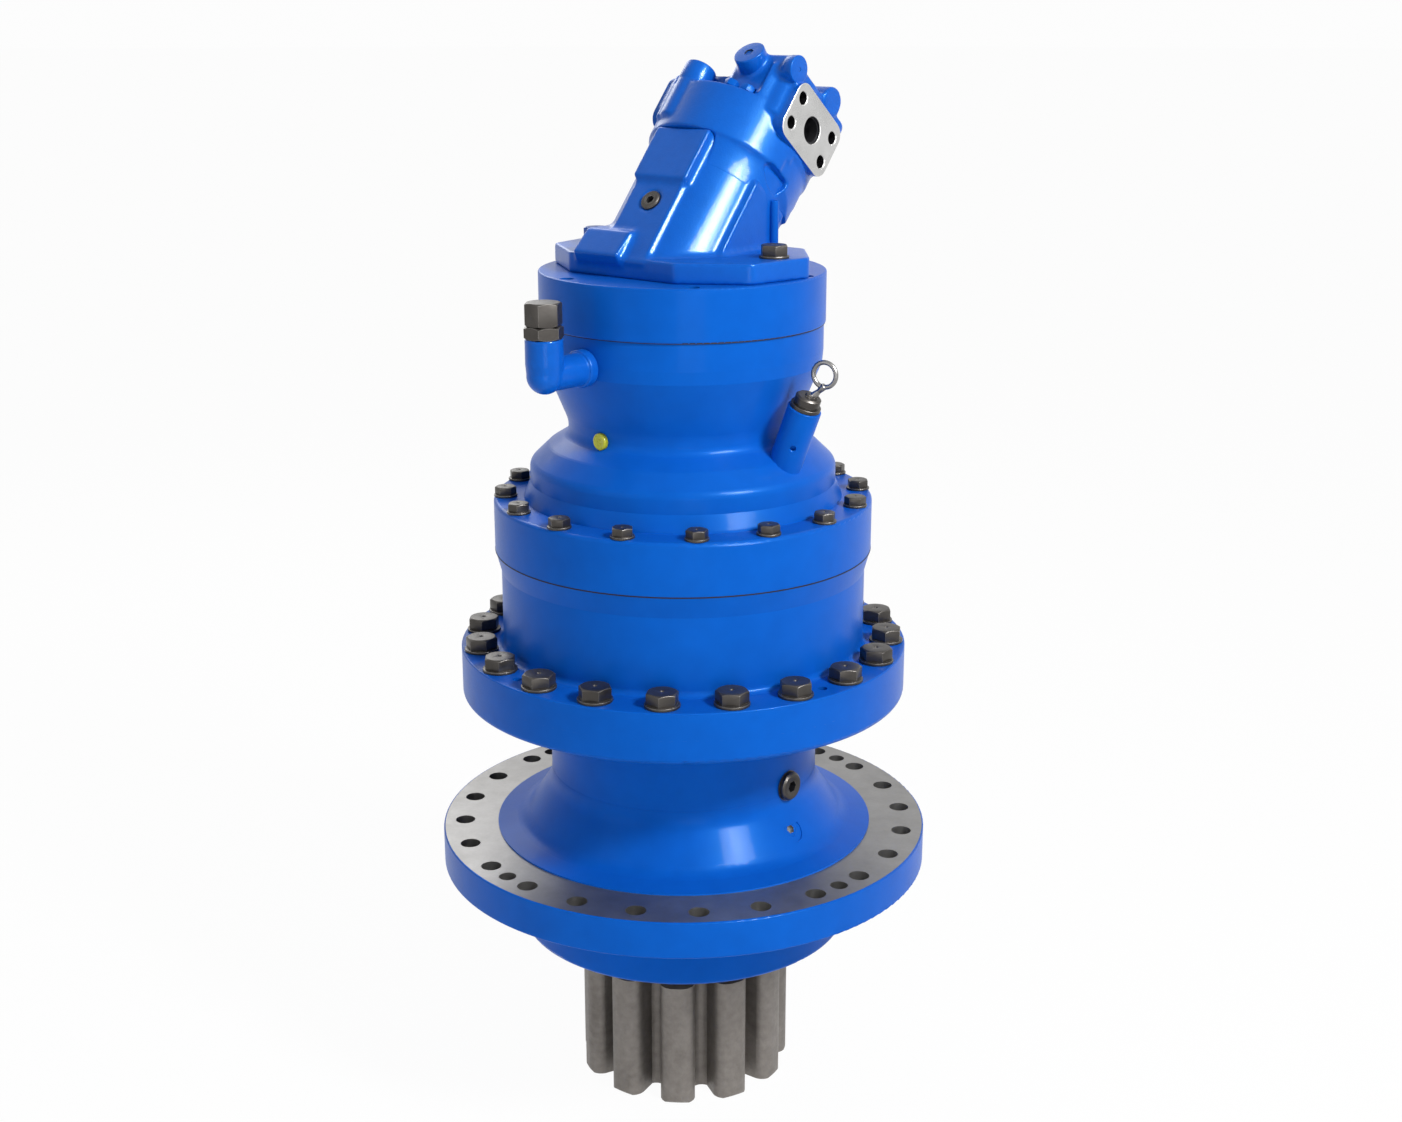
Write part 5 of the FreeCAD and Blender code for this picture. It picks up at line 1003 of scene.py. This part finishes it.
@dataclass
class SocketPlug:
    """A round-headed screw plug with a hexagon socket."""

    name: str
    node: str
    head_radius: float
    head: float
    thread_radius: float
    thread: float
    flats: float
    depth: float
    slot: Slot = Slot.BLACK

    def build(self, pose: Matrix, finish: Material, inside: Material) -> None:
        """Models the plug with its Z out of the surface at the pose."""
        body = turned(self.name, [
            (0, -self.thread), (self.thread_radius - 1, -self.thread),
            (self.thread_radius, 1 - self.thread), (self.thread_radius, 0),
            (self.head_radius, 0, 0.4), (self.head_radius, self.head * 0.7),
            (self.head_radius - self.head * 0.3, self.head, 0.5),
            (self.flats * 0.72, self.head), (self.flats * 0.6, self.head - 0.8),
            (0, self.head - 0.8)], steps=64)
        socket = hexagon("socket", self.flats, self.depth + 4, upright(
            Vector((0, 0, self.head - self.depth))))
        combine(body, Join.CUT, socket)
        coat(body, finish, (inside, self.in_socket))
        placed(body, pose)
        smooth(body, 30)
        settle(body, Body.HOUSING, self.slot, self.node)

    def in_socket(self, centre: Vector, normal: Vector) -> bool:
        """Whether a face is in the socket."""
        inside = math.hypot(centre.x, centre.y) < self.flats / math.sqrt(3) + 0.1
        return inside and centre.z < self.head - 0.9


@dataclass
class Plugs:
    """The level, drain and breather plugs."""

    level_angle: float = -40.0
    level_radius: float = 176.5
    level_height: float = 137.0
    drain_angle: float = -44.0
    drain_radius: float = 190.9
    drain_height: float = 84.0
    drain_sunk: float = 1.4
    cone_lean: float = 34.8
    breather_angle: float = -132.0
    breather_seat: float = 146.0
    breather_height: float = 590.0

    def build(self, palette: Palette) -> None:
        """Models each plug at its place."""
        # The third material is the painted shade laid inside the level plug's socket.
        dark, blue, bored = palette[BLACK_OXIDE], palette[MACHINED_BLUE], palette[HOLE_SHADE]
        level = outward(self.level_angle, self.level_radius, self.level_height)
        SocketPlug("oil_level_plug", "level_plug", head_radius=18.5, head=7, thread_radius=13,
                   thread=20, flats=14, depth=9).build(along(level, 1), dark, bored)
        drain = outward(self.drain_angle, self.drain_radius, self.drain_height, self.cone_lean)
        SocketPlug("oil_drain_plug", "drain_plug", head_radius=11, head=4, thread_radius=8,
                   thread=16, flats=10.5, depth=4, slot=Slot.BLUE).build(
            along(drain, -self.drain_sunk), blue, palette[WIRE])
        self.breather(palette)

    def breather(self, palette: Palette) -> None:
        """The yellow breather cap with its raised rim and hexagon recess."""
        body = turned("breather_cap", [
            (0, -12), (7.5, -12), (7.5, 0), (10.5, 0, 0.6), (10.5, 5.6, 1.2), (8.2, 7, 0.6),
            (7.4, 6.0, 0.4), (3.4, 5.4), (2.6, 6.3, 0.5), (0, 6.3)], steps=48)
        notch = plate("notch", oblong(0.5, 2), 3, upright(Vector((0, 0, 5.9))))
        combine(body, Join.CUT, notch)
        pose = outward(self.breather_angle, self.breather_seat, self.breather_height)
        smooth(coat(placed(body, pose), palette[YELLOW]), 35)
        settle(body, Body.HOUSING, Slot.BREATHER, "breather_plug")


@dataclass
class DipstickSet:
    """The leaning tube and the dipstick with its ring."""

    angle: float = -41.0
    lean: float = 21.8
    foot_radius: float = 167.7
    foot_height: float = 562.0
    length: float = 79.5
    root: float = 36.0
    radius: float = 21.0
    bore: float = 9.0
    screw_height: float = 32.5
    screw_turn: float = -50.0
    screw_radius: float = 3.5
    flange_radius: float = 19.0
    flange: float = 5.0
    plug_radius: float = 16.0
    plug: float = 17.0
    blade_radius: float = 3.5
    blade: float = 120.0
    eye_radius: float = 15.0
    wire: float = 3.0
    eye_rise: float = 29.0
    eye_shift: float = 9.5
    eye_turn: float = 30.0

    def build(self, palette: Palette) -> None:
        """Models the tube and the dipstick."""
        base = outward(self.angle, self.foot_radius, self.foot_height, 90 - self.lean)
        self.tube(base, palette)
        self.stick(along(base, self.length + 0.05), palette)

    def tube(self, base: Matrix, palette: Palette) -> None:
        """The painted tube with its chamfered mouth and the screw hole in its side."""
        body = turned("dipstick_sleeve", [
            (self.bore, -self.root), (self.radius, -self.root), (self.radius, self.length, 1.4),
            (self.bore + 1.0, self.length), (self.bore, self.length - 1)], steps=72)
        side = (base @ Matrix.Translation(AXIS_Z * self.screw_height * MM)
                @ Matrix.Rotation(math.radians(self.screw_turn), 4, "Z")
                @ Matrix.Rotation(math.pi / 2, 4, "Y"))
        turned_side = along(side, self.radius)
        hole = turned("hole", [
            (0, -6), (self.screw_radius, -6), (self.screw_radius, -1.2),
            (self.screw_radius + 1.6, 0.6), (self.screw_radius + 1.6, 3), (0, 3)],
            steps=24, pose=turned_side)
        placed(body, base)
        combine(body, Join.CUT, hole)
        smooth(coat(body, palette[MACHINED_BLUE]), 32)
        settle(body, Body.HOUSING, Slot.BLUE, "dipstick_tube")

    def stick(self, top: Matrix, palette: Palette) -> None:
        """The dark plug with its round head, the blade and the bright ring on its neck."""
        cap = turned("dipstick_head", [
            (0, -self.blade), (self.blade_radius, -self.blade), (self.blade_radius, -20),
            (self.bore - 0.05, -20, 0.5), (self.bore - 0.05, 0), (self.flange_radius, 0, 0.7),
            (self.flange_radius, self.flange, 0.7), (self.plug_radius - 1.2, self.flange),
            (self.plug_radius - 1.2, self.flange + 1.6), (self.plug_radius, self.flange + 2.2, 0.3),
            (self.plug_radius, self.plug - 2.0, 0.4), (self.plug_radius - 2.4, self.plug, 0.6),
            (5.5, self.plug), (4.5, self.plug + 3, 0.8), (0, self.plug + 3)], steps=72)
        coat(placed(cap, top), palette[BLACK_OXIDE])
        shift = Vector((self.eye_shift, 0, 0)) * MM
        centre = along(top, self.plug + self.eye_rise).translation + shift
        pick()
        bpy.ops.mesh.primitive_torus_add(
            major_radius=self.eye_radius * MM, minor_radius=self.wire * MM, major_segments=64,
            minor_segments=20)
        ring = placed(bpy.context.object, Matrix.Translation(centre) @ Matrix.Rotation(
            math.radians(-self.eye_turn), 4, "Z") @ Matrix.Rotation(math.pi / 2, 4, "X"))
        foot = along(top, self.plug + 0.5).translation + shift * 0.6
        reach = centre - Vector((0, 0, (self.eye_radius - 1) * MM)) - foot
        length = reach.length / MM
        pose = Matrix.Translation(foot) @ reach.to_track_quat("Z", "Y").to_matrix().to_4x4()
        neck = turned("neck", [
            (0, -2), (5.2, -2), (4.6, 2, 2), (3.2, length * 0.45, 3), (4.0, length * 0.75, 2),
            (4.4, length + 1, 1), (0, length + 1)], steps=32, pose=pose)
        eye = merged("eye", [ring, neck])
        as_cast(eye, 0.5, 4)
        coat(eye, palette[WIRE])
        body = smooth(merged("dipstick_with_ring", [cap, eye]), 35)
        settle(body, Body.DIPSTICK, Slot.BLACK, "dipstick")


# Motor


@dataclass
class Motor:
    """The bent-axis motor: its housing with the flange, and the port cover with its bosses."""

    nodes: dict[str, Piece]
    bend: float = 40.0
    direction: float = 50.0
    pivot: float = 805.0
    voxel: float = 1.6
    fillet: float = 6.5
    share: float = 0.7
    cover_share: float = 0.55
    cover_voxel: float = 1.4
    cover_fillet: float = 3.5
    port_height: float = 194.0
    port_face: float = 106.0
    port_radius: float = 15.0
    mouth_radius: float = 16.8
    mouth_depth: float = 4.0
    pad_short: float = 38.0
    pad_long: float = 55.0
    pad_round: float = 17.0
    pad_depth: float = 16.0
    port_depth: float = 50.0
    tower_radius: float = 102.5
    tower_low: float = 140.0
    tower_top: float = 238.0
    tower_span: Point = (-49, -3)
    block_face: float = -73.0
    block_side: float = 5.0
    block_low: float = 180.0
    block_top: float = 240.0
    old_boss_span: Point = (30, 85)
    old_boss_front: float = -125.0
    old_boss_low: float = 197.0
    trim_radius: float = 100.5
    trim_reach: float = 150.0
    trim_span: Point = (-8, 110)
    trim_low: float = 60.0
    trim_height: float = 90.0
    valve_end: Triple = (34.5, -89.0, 241.5)
    valve_lean: float = 15.0
    valve_radius: float = 20.0
    valve_length: float = 22.0
    valve_flats: float = 11.0
    upper_end: Triple = (99.4, -62, 238)
    upper_radius: float = 17.2
    upper_length: float = 12.0
    upper_flats: float = 5.0
    stop_end: Triple = (-34, -82, 218.4)
    stop_radius: float = 20.7
    stop_length: float = 28.0
    pocket_outline: tuple[Point, ...] = (
        (-115, -37), (-122, -31), (-120, 11), (-96, 2), (-99, -15))
    pocket_start: float = 89.0
    flare_profile: tuple[Point, ...] = (
        (86, 78), (94.1, 78), (94.6, 88), (95.6, 100), (97.2, 110), (99.2, 118), (99.6, 126),
        (86, 126))
    saddle_half: float = 45.0
    thread_radius: float = 8.0
    thread_depth: float = 29.0
    spacing_long: float = 79.4
    spacing_short: float = 36.5
    cover_top: float = 188.0
    plug_seat: float = 91.0
    plug_height: float = 16.0
    recess: float = 3.0
    screw_flats: float = 17.0
    screw_head: float = 9.0
    screw_places: tuple[Point, ...] = ((-70, 8), (-57, 34), (75, 12), (110, 40))
    screw_pitch: float = 93.0
    shank_radius: float = 5.0
    shank: float = 60.0
    niche_radius: float = 10.4
    stud_place: Point = (113.5, -15.0)
    stud_radius: float = 5.5
    stud_top: float = 872.0
    flange_top: float = 812.0

    def pose(self) -> Matrix:
        """The barrel's own frame: X to the right port, Y under the bend, Z up the barrel."""
        turn = Matrix.Rotation(math.radians(self.direction - 90), 4, "Z")
        lean = Matrix.Rotation(math.radians(-self.bend), 4, "X")
        return Matrix.Translation((0, 0, self.pivot * MM)) @ turn @ lean

    def local(self, x: float, y: float, z: float) -> Matrix:
        """A pose in the barrel's frame."""
        return self.pose() @ Matrix.Translation(Vector((x, y, z)) * MM)

    def build(self, palette: Palette) -> None:
        """Models the housing, the cover, the cover's screws and the case plug."""
        self.housing(palette)
        self.cover(palette)
        self.screws(palette)
        self.stud(palette)
        seat = self.local(0, -self.plug_seat, self.plug_height)
        seat = seat @ Matrix.Rotation(math.pi / 2, 4, "X")
        # The case plug's socket takes the painted shade of a hole.
        SocketPlug("case_drain_plug", "motor_case_plug", head_radius=13, head=5, thread_radius=10,
                   thread=14, flats=10, depth=7).build(
            along(seat, -self.recess), palette[BLACK_OXIDE], palette[HOLE_SHADE])

    def housing(self, palette: Palette) -> None:
        """The housing as a casting with soft corners."""
        body = cad_copy(self.nodes["motor_housing"], "motor_barrel")
        filleted(body, self.voxel, self.fillet, 2, self.share)
        smooth(coat(body, palette[CAST_BLUE]), 60)
        settle(body, Body.HOUSING, Slot.BLUE, "motor_housing")

    def cover(self, palette: Palette) -> None:
        """The port cover as a casting, its ports and bosses machined after the skin is made."""
        body = cad_copy(self.nodes["motor_port_cover"], "motor_valve_cover")
        combine(body, Join.CUT, self.old_boss(), self.trim())
        body = merged("motor_valve_cover", [
            body, self.flare(), self.tower(), self.block_front(), self.valve_root()])
        as_cast(body, self.cover_voxel, 1)
        combine(body, Join.CUT, self.pocket())
        filleted(body, self.cover_voxel, self.cover_fillet, 3, self.cover_share)
        faces = [self.port_face_pose(side) for side in (1, -1)]
        skims = [plate("skim", oblong(80, 80), 10, along(face, -2.0)) for face in faces]
        holes = [tool for face in faces for tool in self.port_tools(face)]
        combine(body, Join.CUT, merged("skims", skims), merged("holes", holes), self.niche())
        pads = [self.pad(face) for face in faces]
        body = merged("motor_valve_cover", [body, *pads])
        # The ports' bores and threaded holes take the painted shade that stands in for the dark
        # inside them.
        coat(body, palette[CAST_BLUE], (palette[MILLED], self.on_port_pad),
             (palette[HOLE_SHADE], self.in_port))
        body = merged("motor_valve_cover", [body, *self.bosses(palette)])
        smooth(body, 40)
        settle(body, Body.HOUSING, Slot.BLUE, "motor_port_cover")

    def port_face_pose(self, side: int) -> Matrix:
        """A port's face with its Z outward, X along the barrel's axis and Y across it."""
        return self.local(side * self.port_face, 0, self.port_height) @ Matrix.Rotation(
            side * math.pi / 2, 4, "Y")

    def port_tools(self, face: Matrix) -> list[Piece]:
        """The bore and the four threaded holes of a flange port."""
        tools = [turned("port", [
            (0, -self.port_depth), (self.port_radius, -self.port_depth),
            (self.port_radius, -self.mouth_depth),
            (self.mouth_radius, -self.mouth_depth), (self.mouth_radius, -0.8),
            (self.mouth_radius + 1.0, 0.3), (self.mouth_radius + 1.0, 4), (0, 4)],
            steps=64, pose=face)]
        for i in (-1, 1):
            for j in (-1, 1):
                spot = face @ Matrix.Translation(Vector((
                    i * self.spacing_short / 2, j * self.spacing_long / 2, 0)) * MM)
                tools.append(turned("thread", [
                    (0, -self.thread_depth), (self.thread_radius, -self.thread_depth),
                    (self.thread_radius, -1.2),
                    (self.thread_radius + 1.2, 0.2), (self.thread_radius + 1.2, 4), (0, 4)],
                    steps=32, pose=spot))
        return tools

    def pad(self, face: Matrix) -> Piece:
        """The port's raised pad, cut by the same tools as the casting behind it."""
        body = plate("pad", oblong(self.pad_short, self.pad_long, self.pad_round), self.pad_depth,
                     along(face, -self.pad_depth), segments=10)
        softened(body, 0.6, segments=1, angle=50)
        return combine(body, Join.CUT, merged("holes", self.port_tools(face)))

    def old_boss(self) -> Piece:
        """The room of the plain front boss, which a leaning one takes."""
        (left, right), front, back = self.old_boss_span, self.old_boss_front, self.block_face
        return plate("old_boss", [(left, front), (right, front), (right, back), (left, back)], 60,
                     self.local(0, 0, self.old_boss_low))

    def trim(self) -> Piece:
        """What stands out of the round cover under the right port."""
        inner = arc(self.trim_radius, *self.trim_span, 32)
        outer = arc(self.trim_reach, *self.trim_span, 32)
        return plate("trim", inner + outer[::-1], self.trim_height, self.local(0, 0, self.trim_low))

    def tower(self) -> Piece:
        """The front of the port block, which rises flush with the round cover."""
        rim = arc(self.tower_radius, *self.tower_span, 16)
        return plate("tower", [*rim, (70, 10), (62, -20)], self.tower_top - self.tower_low,
                     self.local(0, 0, self.tower_low))

    def block_front(self) -> Piece:
        """The flat front of the port block, which carries the front boss."""
        left, front = self.block_side, self.block_face
        return plate("block_front", [
            (left, -40), (left, front, 8), (70, front, 3), (80, -62), (80, -40)],
            self.block_top - self.block_low, self.local(0, 0, self.block_low))

    def valve_axis(self) -> Matrix:
        """The front boss's end, its Z outward and leaning up the barrel."""
        return self.local(*self.valve_end) @ Matrix.Rotation(
            math.radians(90 - self.valve_lean), 4, "X")

    def valve_root(self) -> Piece:
        """The front boss as a plain shell, which the casting's skin takes in."""
        return rod("valve_root", self.valve_radius - 0.4, -60, -2, 64, self.valve_axis())

    def bosses(self, palette: Palette) -> list[Piece]:
        """The crisp ends of the bosses with their sunk plugs."""
        made = []
        turn_right = Matrix.Rotation(math.pi / 2, 4, "Y")
        for pose, radius, length, flats in (
                (self.valve_axis(), self.valve_radius, self.valve_length, self.valve_flats),
                (self.local(*self.upper_end) @ turn_right, self.upper_radius, self.upper_length,
                 self.upper_flats),
                (self.local(*self.stop_end), self.stop_radius, self.stop_length, 0)):
            end = turned("boss_end", [
                (0, -length), (radius - 1.0, -length), (radius, -length + 2), (radius, 0, 1.6),
                (0, 0)], steps=72, pose=pose, segments=5)
            if flats:
                combine(end, Join.CUT, hexagon("socket", flats, 12, along(pose, -8)))
            inside = pose.inverted()
            # The boss sockets take the painted shade of a hole.
            coat(end, palette[CAST_BLUE], (palette[HOLE_SHADE], lambda centre, normal, inside=inside:
                 self.in_socket(inside @ (centre * MM) / MM)))
            made.append(end)
        return made

    @staticmethod
    def in_socket(spot: Vector) -> bool:
        """Whether a spot in a boss's own frame lies in its socket."""
        return spot.z < -0.5 and math.hypot(spot.x, spot.y) < 7

    def pocket(self) -> Piece:
        """The hollow under the cover's edge between the flare and the port's shoulder."""
        face = self.local(0, 0, 0) @ Matrix.Rotation(math.pi / 2, 4, "Y")
        return plate("pocket", self.pocket_outline, 40, along(face, self.pocket_start))

    def flare(self) -> Piece:
        """The hollow cone that joins the cover to the barrel, open over the saddle."""
        ring = turned("flare", self.flare_profile, steps=96, pose=self.pose())
        half = self.saddle_half
        gap = plate("gap", [(-half, -120), (half, -120), (half, 0), (-half, 0)], 60,
                    self.local(0, 0, 70))
        return combine(ring, Join.CUT, gap)

    def screw_poses(self) -> list[Matrix]:
        """The cover screws' places on its top, each head turned its own way."""
        return [self.local(0, 0, self.cover_top) @ upright(polar(self.screw_pitch, angle), turn)
                for angle, turn in self.screw_places]

    def niche(self) -> Piece:
        """The room of the second screw's head in the foot of the port block."""
        return rod("niche", self.niche_radius, 0.3, self.screw_head + 1.5,
                   pose=self.screw_poses()[1])

    def screws(self, palette: Palette) -> None:
        """The cover's painted hexagon screws."""
        model = hexagon("cover_screw", self.screw_flats, self.screw_head, chamfer=0.4)
        softened(model, 0.35, segments=2, angle=25)
        model = merged("cover_screw", [model, rod("shank", self.shank_radius, -self.shank, 1, 24)])
        circle = smooth(merged("cover_hexagon_screws", copies(model, self.screw_poses())), 28)
        settle(coat(circle, palette[MACHINED_BLUE]), Body.HOUSING, Slot.BLUE, "motor_cover_screws")

    def stud(self, palette: Palette) -> None:
        """The thin painted stud that stands on the flange beside the barrel."""
        rise, radius = self.stud_top - self.flange_top, self.stud_radius
        body = turned("flange_stud", [
            (0, -14), (radius, -14), (radius, rise, 1.2), (0, rise)], steps=32,
            pose=upright(Vector((*self.stud_place, self.flange_top))))
        smooth(coat(body, palette[MACHINED_BLUE]), 35)
        settle(body, Body.HOUSING, Slot.BLUE)

    def spot(self, centre: Vector) -> Vector:
        """A point in the barrel's own frame."""
        return (self.pose().inverted() @ (centre * MM)) / MM

    def on_port_pad(self, centre: Vector, normal: Vector) -> bool:
        """Whether a face lies on a port pad's machined face."""
        way = self.pose().inverted().to_3x3() @ normal
        return abs(abs(self.spot(centre).x) - self.port_face) < 0.7 and abs(way.x) > 0.5

    def in_port(self, centre: Vector, normal: Vector) -> bool:
        """Whether a face lies in one of the ports' holes."""
        spot = self.spot(centre)
        high = spot.z - self.port_height
        across = math.hypot(spot.y, high)
        to_thread = math.hypot(abs(spot.y) - self.spacing_long / 2,
                               abs(high) - self.spacing_short / 2)
        in_hole = across < self.mouth_radius + 0.2 or to_thread < self.thread_radius + 0.2
        return self.port_face - 52 < abs(spot.x) < self.port_face - 0.1 and in_hole


# The studio


@dataclass
class Studio:
    """The floor, the lamps, the world and the camera."""

    floor_height: float = -0.312
    camera_place: Triple = (0.0233, -2.398, 1.110)
    camera_pitch: float = 73.62
    lens: float = 49.1
    floor_white: float = 0.96
    world_light: float = 0.32
    world_seen: float = 0.66

    def build(self) -> None:
        """Sets the whole stage."""
        self.floor()
        self.world()
        self.lamp("key", (2.0, -1.9, 2.6), (0.0, 0.0, 0.35), 0.6, 100.0)
        gloss = self.lamp("gloss", (1.75, -1.75, 2.3), (0.0, 0.0, 0.5), 1.1, 260.0)
        gloss.visible_diffuse = False
        self.lamp("fill", (-2.6, -2.2, 1.3), (0.0, 0.0, 0.35), 2.2, 14.0)
        self.lamp("front", (0.4, -3.2, 0.3), (0.0, 0.0, 0.0), 1.2, 14.0)
        self.lamp("rim", (-1.2, 2.6, 2.2), (0.0, 0.0, 0.5), 1.6, 30.0)
        self.camera()
        bpy.context.scene.view_settings.view_transform = "Standard"

    def floor(self) -> None:
        """A wide pale floor that keeps the object's shadow and looks white to the camera."""
        pick()
        bpy.ops.mesh.primitive_circle_add(
            vertices=96, radius=60.0, fill_type="NGON", location=(0, 0, self.floor_height))
        ground = bpy.context.object
        ground.name = "floor"
        made = bpy.data.materials.new("pale_floor")
        made.use_nodes = True
        graph = Graph(made.node_tree)
        shader = made.node_tree.nodes["Principled BSDF"]
        shader.inputs["Base Color"].default_value = (0.86, 0.86, 0.86, 1)
        shader.inputs["Roughness"].default_value = 0.9
        glow = graph.add("Emission", {"Strength": 1.0})
        mix = graph.add("MixShader", {
            0: graph.math("MULTIPLY", self.seen(graph), self.floor_white), 1: shader.outputs[0],
            2: glow.outputs[0]})
        graph.feed(mix.outputs[0], made.node_tree.nodes["Material Output"].inputs[0])
        ground.data.materials.append(made)

    @staticmethod
    def seen(graph: Graph) -> Socket:
        """1 for a ray from the camera, from a gloss or through glass."""
        path = graph.add("LightPath")
        rays = graph.math("ADD", path.outputs["Is Camera Ray"], path.outputs["Is Glossy Ray"])
        rays = graph.math("ADD", rays, path.outputs["Is Transmission Ray"])
        return graph.math("MINIMUM", rays, 1.0)

    def world(self) -> None:
        """A white backdrop for the camera, and a plain dimmer light for the object."""
        world = bpy.data.worlds.new("studio")
        bpy.context.scene.world = world
        world.use_nodes = True
        graph = Graph(world.node_tree)
        back = world.node_tree.nodes["Background"]
        back.inputs["Color"].default_value = (1, 1, 1, 1)
        strength = graph.math("MULTIPLY_ADD", self.seen(graph), self.world_seen, self.world_light)
        graph.feed(strength, back.inputs["Strength"])

    def lamp(self, name: str, place: Triple, aim: Triple,
             size: float, power: float) -> Piece:
        """A soft square lamp that points at a spot.

        Args:
            name: the lamp's name.
            place: where it hangs, in metres.
            aim: the spot that it points at.
            size: the length of its sides.
            power: its power in watts.

        Returns:
            The lamp.
        """
        light = bpy.data.lights.new(name, "AREA")
        light.size, light.energy = size, power
        lamp = bpy.data.objects.new(name, light)
        bpy.context.scene.collection.objects.link(lamp)
        lamp.location = place
        lamp.rotation_euler = (Vector(aim) - Vector(place)).to_track_quat("-Z", "Y").to_euler()
        return lamp

    def camera(self) -> None:
        """The camera at the photograph's place and angle."""
        data = bpy.data.cameras.new("camera")
        data.sensor_fit, data.sensor_width, data.lens = "HORIZONTAL", 36.0, self.lens
        camera = bpy.data.objects.new("camera", data)
        bpy.context.scene.collection.objects.link(camera)
        camera.location = self.camera_place
        camera.rotation_euler = (math.radians(self.camera_pitch), 0, 0)
        data.clip_end = 200.0
        bpy.context.scene.camera = camera


def corners(box: tuple[Vector, Vector]) -> list[list[float]]:
    """A box's two corners as plain lists of numbers."""
    return [list(map(float, corner)) for corner in box]


def main() -> None:
    """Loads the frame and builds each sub-assembly in order."""
    logging.basicConfig(level=logging.INFO, format="%(message)s")
    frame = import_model()
    palette = Palette()
    nodes = frame["nodes"]
    Frame(nodes, frame["record"]).dress(palette)
    Seams().build(palette)
    for circle in SCREW_CIRCLES:
        circle.build(palette)
    SocketScrews().build(palette)
    FillerElbow().build(palette)
    Plugs().build(palette)
    DipstickSet().build(palette)
    Motor(nodes).build(palette)
    Studio().build()
    log.info("all pieces are built")


if __name__ == "__main__":
    main()
